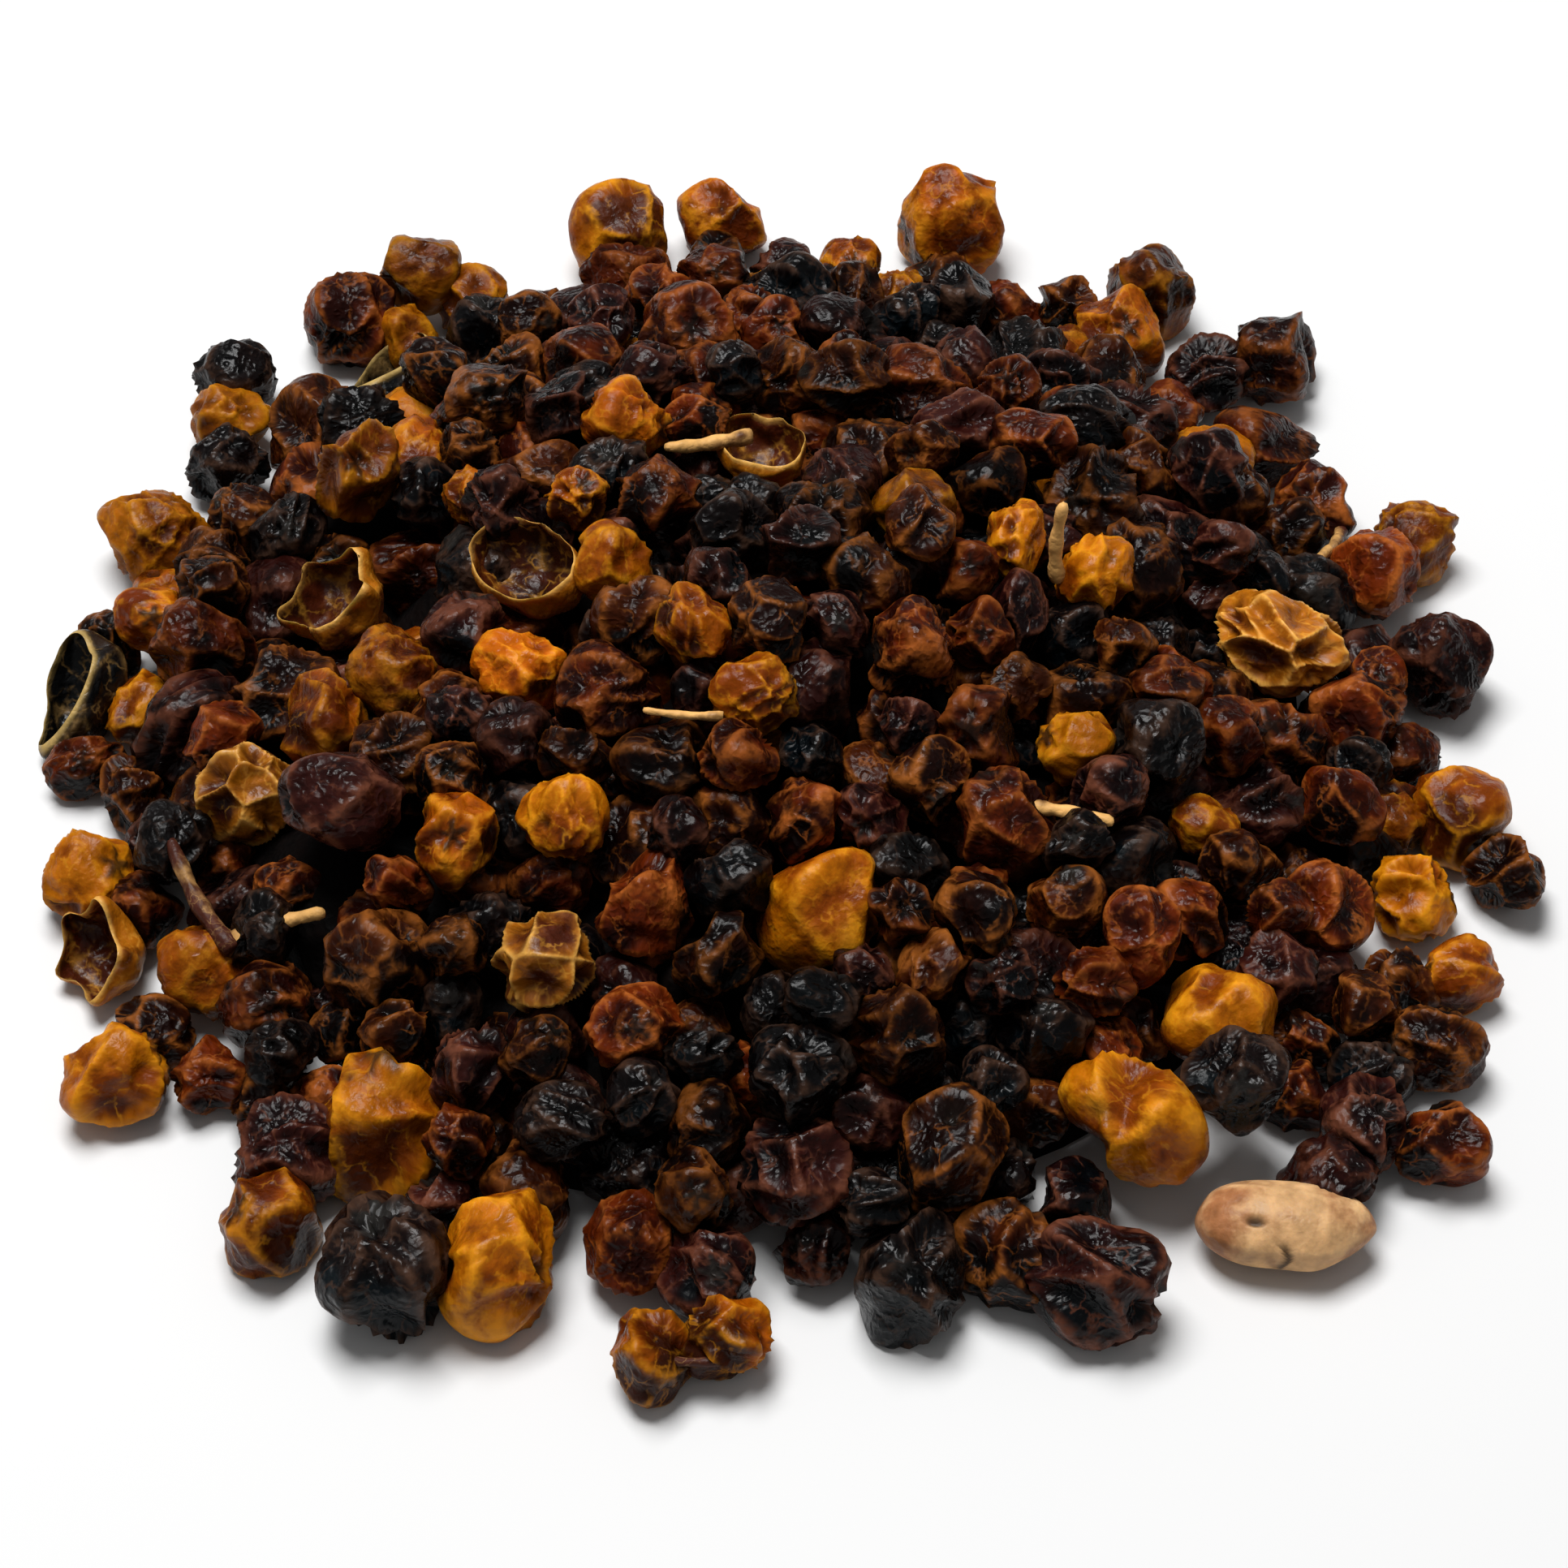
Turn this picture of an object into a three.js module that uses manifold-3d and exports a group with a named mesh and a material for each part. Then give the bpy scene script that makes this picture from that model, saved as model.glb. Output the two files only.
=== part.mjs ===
// A loose heap of dried rowan berries on a flat surface, one fused solid in millimetres, +Z up.
// The origin is under the middle of the heap, on the surface that it lies on, and its front faces -Y.
// The berries are poured one by one at true size. The ones that show are fused, with few sides each,
// onto a core a little under the skin of the heap.
import * as THREE from "three";
import { mergeVertices } from "three/addons/utils/BufferGeometryUtils.js";
import Module from "manifold-3d";

// The heap: how far it reaches every 30 degrees, anticlockwise from +X, and how it is domed
const RIM_RADII = [65, 68, 69, 69, 68, 65, 62, 64, 67, 67, 67, 66];
const HEAP_HEIGHT = 23.5;
const DOME_POWER = 0.8;
const WAVE_HEIGHT = 1.6;
const WAVE_LENGTH = 52;

// The berries
const BERRY_RADIUS = 4;
const SMALLEST_BERRY = 0.76; // as a share of the usual radius
const LARGEST_BERRY = 1.24;
const SIZE_POWER = 1.3; // above 1, small berries are more frequent than large ones
const CONTACT_SHARE = 0.9; // wrinkled berries nest, so their centres lie nearer than two radii

// The pouring of the berries onto the surface
const POUR_SEED = 20261;
const POURED = 3600;
const EDGE_WIDTH = 9;
const EDGE_SHARE = 0.9; // of the berries that land on the thin edge, this share stays
const PROUD = 2; // how far a berry may stand above the dome
const ROLL_WAYS = 8; // directions that a berry tries when it rolls downhill
const FIRST_STEP = 0.5; // as a share of its radius
const LAST_STEP = 0.15;
const LEAST_DROP = 1e-4;
const SLIDE_STEP = 0.25;
const LONGEST_SLIDE = 12;
const SLIDE_WAYS = 12;
const HOLD_SHARE = 0.8; // a berry that lies alone slides until it is this near to a neighbour

// Berries that stand out by their colour or their place, each with its place and its breadth
const GOLDEN = [
  [5, -28, 11], [37, -35, 9.5], [-29, -46, 11], [-21, -59, 10.5], [30, -46, 12], [-53, -39, 8.5],
  [-14, 70, 9.5], [-16, -22, 7], [22, 10, 6.6], [29, 8, 6.4], [-58, -16, 8], [26, -12, 6], [55, -19, 7],
  [-28, 62, 7], [-34, 60, 8], [12, 56, 6], [-50, 43, 7], [-36, 23, 8.4], [-56, 26, 9], [61, -10, 8.4],
  [62, 29, 8],
];
const AMBER = [
  [-20, -4, 8.2], [-4, 71, 8], [-12, 26, 8], [-25, -22, 7.2], [-12, -65, 7], [-1, -66, 7.4], [61, -25, 6.6],
  [19, 69, 10.5], [10, 66, 7], [-31, 27, 7], [35, 53, 9], [-31, -2, 8.6], [-41, -57, 7.6], [39, 62, 8.8],
];
const RUST = [
  [-14, 60, 9], [-9, -29, 8.6], [-10, -40, 7.6], [20, -21, 8], [18, -12, 8], [47, -22, 8.8], [56, 20, 9.6],
  [28, -38, 6.6], [31, -30, 7], [-11, -57, 8.2], [48, 38, 8.4], [51, 49, 9.2], [-42, 55, 8.6], [53, 31, 7],
  [-40, -32, 8], [-7, 45, 8.4], [58, -45, 7.6],
];
const DARK = [
  [31, -59, 9.6], [-34, -19, 8.8], [-3, -58, 8], [-39, -46, 8.8], [21, -57, 8.4], [48, -44, 8],
  [61, 8, 10], [56, -35, 8], [65, -13, 7.4], [11, -60, 9.6], [-32, -58, 10.6], [39, -43, 8.8],
  [-50, 50, 8.2], [24, 44, 10.6], [42, -50, 7.6],
];

// Skins that split open and dried, each with its place, breadth, length as a share of it, and heading
const OPEN_SKINS = [
  [-43, -12, 8.6, 1, 0], [-37, 10, 9, 1, 0], [-20, 8, 8.6, 1.4, -40], [0, 24, 7.6, 1.2, -60],
  [45, 6, 10.6, 1.2, 80], [-17, -34, 7.6, 1, 0], [-61, 5, 7.6, 1.6, 48], [-36, 46, 8.4, 1.5, 40],
  [-56, -27, 7.6, 1.1, 100],
];
const OPENING_LEAN = [1 / 60, 1 / 60, -0.3]; // outwards with the place, and a little to the front
const HOLLOW_FLOOR = { above: 0.95, reach: 0.3 }; // reach of the skin where it faces the opening
const HOLLOW_WALL = { above: 0.7, reach: 0.62 };
const HOLLOW_LIP = { above: 0.4, reach: 1.16 };

// One pale seed husk on the front edge, written as the open skins are
const HUSKS = [[40, -55, 7.6, 1.85, -6]];
const HUSK_HEIGHT = 0.8; // as a share of its breadth
const HUSK_TAPER = 0.35;

// Stalks, each with its foot's place, heading, rise in degrees, length and thickness
const STALKS = [
  [25.5, 7, 90, 82, 8, 1.4],
  [-43, -28, 122, 12, 11, 1.7],
  [-43, -27, -10, 20, 6, 1.5],
  [52, 29, -95, -4, 9, 1.2],
  [-1, 25, 200, 8, 7, 1.5],
  [22, -20, -18, 4, 5, 1.3],
];
const STALK_SIDES = 5;
const STALK_TAPER = 0.7;
const STALK_SINK = 2; // depth of the foot in the berries below

// The shape of one shrunken berry
const SHAPE_SEED = 7919;
const FACETS = 14; // flats left where the flesh shrank
const FACET_JITTER = 0.45;
const FACET_SHARPNESS = 14;
const NEAREST_FACET = 0.84; // distance of the deepest flat from the middle, as a share of the radius
const STRETCH = 0.14;
const EDGE_SWELL = 1.14; // few-sided berries near the rim are swelled, so that each holds to the next

// Which berries show: the share of rays that get out of the heap from a berry's skin
const VIEW_RAYS = 64;
const LOWEST_RAY = -0.2; // as the ray's rise over its length
const SHOWING_SHARE = 0.25;

// The core under the berries
const CORE_DEPTH = 4; // below a ball that rests on the heap
const CORE_PROBE = 9; // radius of that ball
const CORE_INSET = 5;
const CORE_EDGE = 0.6;
const CORE_RINGS = 7;
const CORE_SECTORS = 28;
const CORE_SPACING = 0.8; // below 1, the rings lie closer together near the rim

const MERGE_DISTANCE = 1e-4;
const CUTTER_WIDTH = 300;
const CUTTER_DEPTH = 20;
const BERRY_COLOUR = 0x4a2415;
const BERRY_ROUGHNESS = 0.55;

const UP = new THREE.Vector3(0, 0, 1);
const GOLDEN_ANGLE = Math.PI * (3 - Math.sqrt(5));
const { degToRad } = THREE.MathUtils;
const wasm = await Module();
wasm.setup();

// A seeded draw of numbers between 0 and 1
function dice(seed) {
  let state = seed;
  return () => {
    state = (state * 48271) % 2147483647;
    return state / 2147483647;
  };
}

// Directions spread evenly between a lowest rise and straight up
function spreadDirections(count, lowest) {
  return Array.from({ length: count }, (_, k) => {
    const rise = lowest + ((1 - lowest) * (k + 0.5)) / count;
    const flat = Math.sqrt(1 - rise * rise);
    return new THREE.Vector3(flat * Math.cos(k * GOLDEN_ANGLE), flat * Math.sin(k * GOLDEN_ANGLE), rise);
  });
}

function rimRadius(angle) {
  const place = (angle / (2 * Math.PI) + 1) * RIM_RADII.length;
  const before = Math.floor(place);
  const ease = (1 - Math.cos((place - before) * Math.PI)) / 2;
  const here = RIM_RADII[before % RIM_RADII.length];
  const next = RIM_RADII[(before + 1) % RIM_RADII.length];
  return here + (next - here) * ease;
}

function rimDistance(x, y) {
  return rimRadius(Math.atan2(y, x)) - Math.hypot(x, y);
}

function domeHeight(x, y) {
  const share = Math.min(Math.hypot(x, y) / rimRadius(Math.atan2(y, x)), 1);
  const wave = Math.sin((2 * Math.PI * x) / WAVE_LENGTH + 1) * Math.cos((2 * Math.PI * y) / WAVE_LENGTH);
  return HEAP_HEIGHT * (1 - share * share) ** DOME_POWER + WAVE_HEIGHT * wave * (1 - share);
}

// Lowest height at which a ball over this place rests on the surface and on the berries below
function restHeight(heap, x, y, radius) {
  const own = radius * CONTACT_SHARE;
  let height = own;
  for (const berry of heap) {
    const reach = own + berry.radius * CONTACT_SHARE;
    const apart = (berry.x - x) ** 2 + (berry.y - y) ** 2;
    if (apart < reach * reach) height = Math.max(height, berry.z + Math.sqrt(reach * reach - apart));
  }
  return height;
}

// A berry rolls downhill, in ever smaller steps, until no step takes it lower
function settle(heap, x, y, radius) {
  let spot = { x, y, z: restHeight(heap, x, y, radius), radius };
  for (let step = radius * FIRST_STEP; step > LAST_STEP; ) {
    let lower = spot;
    for (let way = 0; way < ROLL_WAYS; way += 1) {
      const nextX = spot.x + step * Math.cos((2 * Math.PI * way) / ROLL_WAYS);
      const nextY = spot.y + step * Math.sin((2 * Math.PI * way) / ROLL_WAYS);
      const nextZ = restHeight(heap, nextX, nextY, radius);
      if (nextZ < lower.z - LEAST_DROP) lower = { x: nextX, y: nextY, z: nextZ, radius };
    }
    if (lower === spot) step /= 2;
    spot = lower;
  }
  return spot;
}

function touches(berry, other, nearness) {
  const reach = (berry.radius + other.radius) * nearness;
  return Math.hypot(berry.x - other.x, berry.y - other.y, berry.z - other.z) < reach;
}

// Places of the berries that stand out, from the middle of the heap outwards
function reservedPlaces() {
  const marked = (places, kind) => places.map(([x, y, breadth, length = 1, heading = 0]) => {
    const radius = breadth / 2;
    const z = Math.max(domeHeight(x, y) - radius, radius * CONTACT_SHARE);
    return { x, y, z, radius, length, heading, kind, away: Math.hypot(x, y) };
  });
  const marks = [
    ...marked([...GOLDEN, ...AMBER, ...RUST, ...DARK], "whole"),
    ...marked(OPEN_SKINS, "open"),
    ...marked(HUSKS, "husk"),
  ];
  return marks.sort((one, other) => one.away - other.away);
}

// The other berries fall anywhere and stay where they neither stand proud nor take a reserved place
function pour(reserved) {
  const random = dice(POUR_SEED);
  const heap = [];
  for (let k = 0; k < POURED; k += 1) {
    const angle = 2 * Math.PI * random();
    const out = Math.sqrt(random());
    const size = SMALLEST_BERRY + (LARGEST_BERRY - SMALLEST_BERRY) * random() ** SIZE_POWER;
    const radius = BERRY_RADIUS * size;
    const chance = random();
    const from = (rimRadius(angle) - radius) * out;
    const spot = settle(heap, from * Math.cos(angle), from * Math.sin(angle), radius);
    const inside = rimDistance(spot.x, spot.y);
    const ceiling = Math.max(domeHeight(spot.x, spot.y), 2 * radius) + PROUD;
    const free = !reserved.some((mark) => touches(spot, mark, CONTACT_SHARE));
    const kept = inside > EDGE_WIDTH || (inside > radius && chance < EDGE_SHARE);
    if (kept && free && spot.z + radius < ceiling) heap.push(spot);
  }
  return heap;
}

// A berry that stands out drops into its place. Where it would lie alone on the thin edge, it slides
// the shortest way that brings it to a neighbour further in.
function place(heap, mark) {
  const berry = { ...mark, z: restHeight(heap, mark.x, mark.y, mark.radius) };
  const further = heap.filter((other) => Math.hypot(other.x, other.y) < mark.away);
  const held = (at) => further.some((other) => touches(at, other, HOLD_SHARE));
  const slides = [berry];
  for (let slid = SLIDE_STEP; slid < LONGEST_SLIDE; slid += SLIDE_STEP) {
    for (let way = 0; way < SLIDE_WAYS; way += 1) {
      const angle = (2 * Math.PI * way) / SLIDE_WAYS;
      slides.push({ ...berry, x: mark.x + slid * Math.cos(angle), y: mark.y + slid * Math.sin(angle) });
    }
  }
  const inside = rimDistance(mark.x, mark.y) > EDGE_WIDTH + mark.radius;
  heap.push(inside ? berry : slides.find(held) ?? berry);
}

function pouredHeap() {
  const marks = reservedPlaces();
  const heap = pour(marks);
  for (const mark of marks) place(heap, mark);
  return heap;
}

// Middle of the heap along one axis, which the origin is moved to
function middle(heap, axis) {
  const lowest = Math.min(...heap.map((berry) => berry[axis] - berry.radius));
  const highest = Math.max(...heap.map((berry) => berry[axis] + berry.radius));
  return (lowest + highest) / 2;
}

function shows(heap, berry, rays) {
  const free = rays.filter((ray) => !heap.some((other) => {
    if (other === berry) return false;
    const x = other.x - berry.x - ray.x * berry.radius;
    const y = other.y - berry.y - ray.y * berry.radius;
    const z = other.z - berry.z - ray.z * berry.radius;
    const along = x * ray.x + y * ray.y + z * ray.z;
    return along > 0 && x * x + y * y + z * z - along * along < other.radius ** 2;
  }));
  return free.length / rays.length > SHOWING_SHARE;
}

// A whole berry has rounded flats at uneven distances from the middle, and is stretched and turned
function wholeForm(number) {
  const random = dice(SHAPE_SEED * (number + 1));
  const between = (spread) => spread * (2 * random() - 1);
  const turn = new THREE.Euler(2 * Math.PI * random(), 2 * Math.PI * random(), 2 * Math.PI * random());
  const stretch = new THREE.Vector3(1 + between(STRETCH), 1 + between(STRETCH), 1 + between(STRETCH));
  const flats = spreadDirections(FACETS, -1).map((direction) => {
    const nudge = new THREE.Vector3(between(FACET_JITTER), between(FACET_JITTER), between(FACET_JITTER));
    return direction.add(nudge).normalize().divideScalar(NEAREST_FACET + (1 - NEAREST_FACET) * random());
  });
  return (direction) => {
    const push = flats.reduce((sum, flat) => sum + Math.max(flat.dot(direction), 0) ** FACET_SHARPNESS, 0);
    const reach = push ** (-1 / FACET_SHARPNESS);
    return direction.clone().multiplyScalar(reach).multiply(stretch).applyEuler(turn);
  };
}

// A split skin is a small cup with a flared lip, open upwards and a little outwards
function openForm(skin) {
  const [leanX, leanY, leanFront] = OPENING_LEAN;
  const opening = new THREE.Vector3(skin.x * leanX, skin.y * leanY + leanFront, 1).normalize();
  const tilt = new THREE.Quaternion().setFromUnitVectors(UP, opening);
  return (direction) => {
    const part = [HOLLOW_FLOOR, HOLLOW_WALL, HOLLOW_LIP].find(({ above }) => direction.z > above);
    const point = direction.clone().multiplyScalar(part ? part.reach : 1);
    point.x *= skin.length;
    return point.applyAxisAngle(UP, degToRad(skin.heading)).applyQuaternion(tilt);
  };
}

// The husk is a pointed, slightly flattened shell
function huskForm(husk) {
  return (direction) => {
    const taper = 1 - HUSK_TAPER * direction.x ** 4;
    const point = new THREE.Vector3(husk.length * direction.x, taper * direction.y, taper * direction.z);
    point.z *= HUSK_HEIGHT;
    return point.applyAxisAngle(UP, degToRad(husk.heading));
  };
}

// A ball with a corner at its top
function upright(ball) {
  const corner = new THREE.Vector3().fromBufferAttribute(ball.attributes.position, 0).normalize();
  return ball.applyQuaternion(new THREE.Quaternion().setFromUnitVectors(corner, UP));
}

function shaped(ball, form) {
  const places = ball.attributes.position;
  for (let k = 0; k < places.count; k += 1) {
    const moved = form(new THREE.Vector3().fromBufferAttribute(places, k).normalize());
    places.setXYZ(k, moved.x, moved.y, moved.z);
  }
  return ball;
}

function berrySkin(berry, number) {
  if (berry.kind === "open") return shaped(upright(new THREE.IcosahedronGeometry(1, 1)), openForm(berry));
  if (berry.kind === "husk") return shaped(upright(new THREE.IcosahedronGeometry(1, 1)), huskForm(berry));
  const swell = rimDistance(berry.x, berry.y) > EDGE_WIDTH ? 1 : EDGE_SWELL;
  return shaped(new THREE.IcosahedronGeometry(1, 0), wholeForm(number)).scale(swell, swell, swell);
}

function berryGeometry(berry, number) {
  const { x, y, z, radius } = berry;
  return berrySkin(berry, number).scale(radius, radius, radius).translate(x, y, z);
}

function stalkGeometry(heap, [x, y, heading, rise, length, thickness]) {
  const radius = thickness / 2;
  const whole = length + STALK_SINK;
  return new THREE.CylinderGeometry(radius, radius * STALK_TAPER, whole, STALK_SIDES)
    .translate(0, whole / 2, 0)
    .rotateZ(degToRad(rise - 90))
    .rotateX(Math.PI / 2)
    .rotateZ(degToRad(heading))
    .translate(x, y, restHeight(heap, x, y, radius) - STALK_SINK);
}

// A low dome of rings and sectors with a flat floor
function coreGeometry(heap) {
  const point = (ring, sector) => {
    const angle = (2 * Math.PI * (sector % CORE_SECTORS)) / CORE_SECTORS;
    const out = (rimRadius(angle) - CORE_INSET) * (ring / CORE_RINGS) ** CORE_SPACING;
    const x = out * Math.cos(angle);
    const y = out * Math.sin(angle);
    const skin = restHeight(heap, x, y, CORE_PROBE) - CORE_PROBE * CONTACT_SHARE;
    return [x, y, ring < CORE_RINGS ? Math.max(skin - CORE_DEPTH, CORE_EDGE) : CORE_EDGE];
  };
  const floor = (sector) => [...point(CORE_RINGS, sector).slice(0, 2), 0];
  const corners = [];
  for (let sector = 0; sector < CORE_SECTORS; sector += 1) {
    const next = sector + 1;
    corners.push(point(0, 0), point(1, sector), point(1, next));
    for (let ring = 1; ring < CORE_RINGS; ring += 1) {
      corners.push(point(ring, sector), point(ring + 1, sector), point(ring + 1, next));
      corners.push(point(ring, sector), point(ring + 1, next), point(ring, next));
    }
    corners.push(point(CORE_RINGS, sector), floor(sector), floor(next));
    corners.push(point(CORE_RINGS, sector), floor(next), point(CORE_RINGS, next));
    corners.push([0, 0, 0], floor(next), floor(sector));
  }
  const positions = new THREE.Float32BufferAttribute(corners.flat(), 3);
  return new THREE.BufferGeometry().setAttribute("position", positions);
}

function solid(geometry) {
  geometry.deleteAttribute("normal");
  geometry.deleteAttribute("uv");
  const merged = mergeVertices(geometry, MERGE_DISTANCE);
  return new wasm.Manifold(new wasm.Mesh({
    numProp: 3,
    vertProperties: merged.attributes.position.array,
    triVerts: new Uint32Array(merged.index.array),
  }));
}

// All pieces fused and cut flat at the surface. Only the largest body stays, without sealed hollows.
function fused(pieces) {
  const cutter = new THREE.BoxGeometry(CUTTER_WIDTH, CUTTER_WIDTH, CUTTER_DEPTH);
  cutter.translate(0, 0, -CUTTER_DEPTH / 2);
  const bodies = wasm.Manifold.union(pieces.map(solid)).subtract(solid(cutter)).decompose();
  const { vertProperties, triVerts } = bodies.reduce((a, b) => (a.volume() > b.volume() ? a : b)).getMesh();
  const geometry = new THREE.BufferGeometry();
  geometry.setAttribute("position", new THREE.BufferAttribute(vertProperties, 3));
  return geometry.setIndex(new THREE.BufferAttribute(triVerts, 1));
}

function heapGeometry() {
  const heap = pouredHeap();
  const rays = spreadDirections(VIEW_RAYS, LOWEST_RAY);
  const shown = heap.map((berry) => berry.kind !== undefined || shows(heap, berry, rays));
  const berries = heap.map(berryGeometry).filter((_, number) => shown[number]);
  const stalks = STALKS.map((stalk) => stalkGeometry(heap, stalk));
  return fused([coreGeometry(heap), ...berries, ...stalks])
    .translate(-middle(heap, "x"), -middle(heap, "y"), 0);
}

function berryHeap() {
  const finish = { color: BERRY_COLOUR, roughness: BERRY_ROUGHNESS, metalness: 0 };
  const mesh = new THREE.Mesh(heapGeometry(), new THREE.MeshStandardMaterial(finish));
  mesh.name = "berry_heap";
  return mesh;
}

export default new THREE.Group().add(berryHeap());
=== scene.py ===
# %% [markdown]
# # A heap of dried rowan berries
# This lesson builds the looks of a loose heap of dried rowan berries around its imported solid. The solid
# is plain: berries with few sides fused onto a core. Here the same berries are poured again, at the same
# places and sizes, and each gets its own wrinkles, colours and marks. First the solid is loaded as the
# frame, because everything that follows has to lie where it lies.

import math
from itertools import combinations

import bpy
import numpy as np
from mathutils import Euler, Matrix, Vector


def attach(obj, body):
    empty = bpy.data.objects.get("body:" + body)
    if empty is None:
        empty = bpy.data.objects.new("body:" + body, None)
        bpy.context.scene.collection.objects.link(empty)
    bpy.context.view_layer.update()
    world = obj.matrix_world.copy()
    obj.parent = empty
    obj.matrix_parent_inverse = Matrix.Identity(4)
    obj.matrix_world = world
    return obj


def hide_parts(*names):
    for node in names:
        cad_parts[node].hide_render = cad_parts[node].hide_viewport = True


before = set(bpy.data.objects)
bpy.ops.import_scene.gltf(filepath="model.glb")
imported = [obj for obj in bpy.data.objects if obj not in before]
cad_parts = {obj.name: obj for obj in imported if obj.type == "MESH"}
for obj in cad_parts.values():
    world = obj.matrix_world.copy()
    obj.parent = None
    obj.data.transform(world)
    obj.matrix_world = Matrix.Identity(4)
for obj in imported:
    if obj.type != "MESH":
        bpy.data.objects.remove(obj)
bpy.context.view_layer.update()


def rounded(numbers, digits):
    return [round(number, digits) for number in numbers]


# %% [markdown]
# ## The sizes of the heap
# A dried rowan berry is about 8 mm across. The heap is a low dome with a slightly wavy top and an uneven
# rim. All of it is written in millimetres, as a maker would measure it, and turned into metres only when
# a mesh is made. The rim is a circle with a different radius every 30 degrees, eased from one to the
# next, because a short list of radii is easier to change than an outline.

# %% Sizes of the heap
MM = 0.001
RIM_RADII = np.array([65, 68, 69, 69, 68, 65, 62, 64, 67, 67, 67, 66])
HEAP_HEIGHT = 23.5
DOME_POWER = 0.8
WAVE_HEIGHT = 1.6
WAVE_LENGTH = 52
WAVE_START = 1

BERRY_RADIUS = 4
SMALLEST_BERRY = 0.76
LARGEST_BERRY = 1.24
SIZE_POWER = 1.3
CONTACT_SHARE = 0.9


def rim_radius(angle):
    place = (angle / (2 * np.pi) + 1) * len(RIM_RADII)
    before = np.floor(place).astype(int)
    ease = (1 - np.cos((place - before) * np.pi)) / 2
    here = RIM_RADII[before % len(RIM_RADII)]
    following = RIM_RADII[(before + 1) % len(RIM_RADII)]
    return here + (following - here) * ease


def rim_distance(x, y):
    return rim_radius(np.arctan2(y, x)) - np.hypot(x, y)


def dome_height(x, y):
    share = np.minimum(np.hypot(x, y) / rim_radius(np.arctan2(y, x)), 1)
    wave = np.sin(2 * np.pi * x / WAVE_LENGTH + WAVE_START) * np.cos(2 * np.pi * y / WAVE_LENGTH)
    return HEAP_HEIGHT * (1 - share * share) ** DOME_POWER + WAVE_HEIGHT * wave * (1 - share)


print("the dome is", round(float(dome_height(0, 0)), 1), "mm high in the middle")

# %% [markdown]
# ## The berries that stand out
# Most berries may lie anywhere, but the eye goes to the bright ones, to the split skins and to the ones
# on the edge. Each of those has its own place and breadth, in millimetres from the middle of the heap.
# They are sorted by what they look like, so that a list is also a colour.

# %% Places of the berries that stand out
GOLDEN = [
    (5, -28, 11), (37, -35, 9.5), (-29, -46, 11), (-21, -59, 10.5), (30, -46, 12), (-53, -39, 8.5),
    (-14, 70, 9.5), (-16, -22, 7), (22, 10, 6.6), (29, 8, 6.4), (-58, -16, 8), (26, -12, 6), (55, -19, 7),
    (-28, 62, 7), (-34, 60, 8), (12, 56, 6), (-50, 43, 7), (-36, 23, 8.4), (-56, 26, 9), (61, -10, 8.4),
    (62, 29, 8),
]
AMBER = [
    (-20, -4, 8.2), (-4, 71, 8), (-12, 26, 8), (-25, -22, 7.2), (-12, -65, 7), (-1, -66, 7.4),
    (61, -25, 6.6), (19, 69, 10.5), (10, 66, 7), (-31, 27, 7), (35, 53, 9), (-31, -2, 8.6),
    (-41, -57, 7.6), (39, 62, 8.8),
]
RUST = [
    (-14, 60, 9), (-9, -29, 8.6), (-10, -40, 7.6), (20, -21, 8), (18, -12, 8), (47, -22, 8.8),
    (56, 20, 9.6), (28, -38, 6.6), (31, -30, 7), (-11, -57, 8.2), (48, 38, 8.4), (51, 49, 9.2),
    (-42, 55, 8.6), (53, 31, 7), (-40, -32, 8), (-7, 45, 8.4), (58, -45, 7.6),
]
BROWN = [(65, -13, 7.4), (56, -35, 8), (21, -57, 8.4)]
PLUM = [
    (31, -59, 9.6), (-34, -19, 8.8), (-3, -58, 8), (-39, -46, 8.8), (48, -44, 8), (42, -50, 7.6),
    (61, 8, 10),
]
BLACK = [(11, -60, 9.6), (-32, -58, 10.6), (39, -43, 8.8), (-50, 50, 8.2), (24, 44, 10.6)]

# Split skins also have a length, as a share of the breadth, and a heading in degrees
SPLIT_SKINS = [
    (-43, -12, 8.6, 1, 0), (-37, 10, 9, 1, 0), (-20, 8, 8.6, 1.4, -40), (0, 24, 7.6, 1.2, -60),
    (45, 6, 10.6, 1.2, 80), (-17, -34, 7.6, 1, 0), (-61, 5, 7.6, 1.6, 48), (-36, 46, 8.4, 1.5, 40),
    (-56, -27, 7.6, 1.1, 100),
]
HUSKS = [(40, -55, 7.6, 1.85, -6)]

MARKS = {"golden": GOLDEN, "amber": AMBER, "rust": RUST, "brown": BROWN, "plum": PLUM, "black": BLACK,
         "split": SPLIT_SKINS, "husk": HUSKS}
print(sum(len(places) for places in MARKS.values()), "berries stand out")

# %% [markdown]
# ## Pouring the berries
# A heap could come from a physics simulation, but that is slow and hard to repeat exactly. Instead each
# berry is dropped at a drawn place, finds the height at which it touches what lies below, and rolls
# downhill in ever smaller steps until no step takes it lower. The draw starts from a fixed seed, so that
# every run pours the same heap, which is also the heap that the solid was made from.

# %% Dropping and rolling
POUR_SEED = 20261
POURED = 3600
EDGE_WIDTH = 9
EDGE_SHARE = 0.9
PROUD = 2
ROLL_WAYS = 8
FIRST_STEP = 0.5
LAST_STEP = 0.15
LEAST_DROP = 1e-4


def dice(seed):
    """A seeded draw of numbers between 0 and 1."""
    state = seed
    while True:
        state = state * 48271 % 2147483647
        yield state / 2147483647


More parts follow.
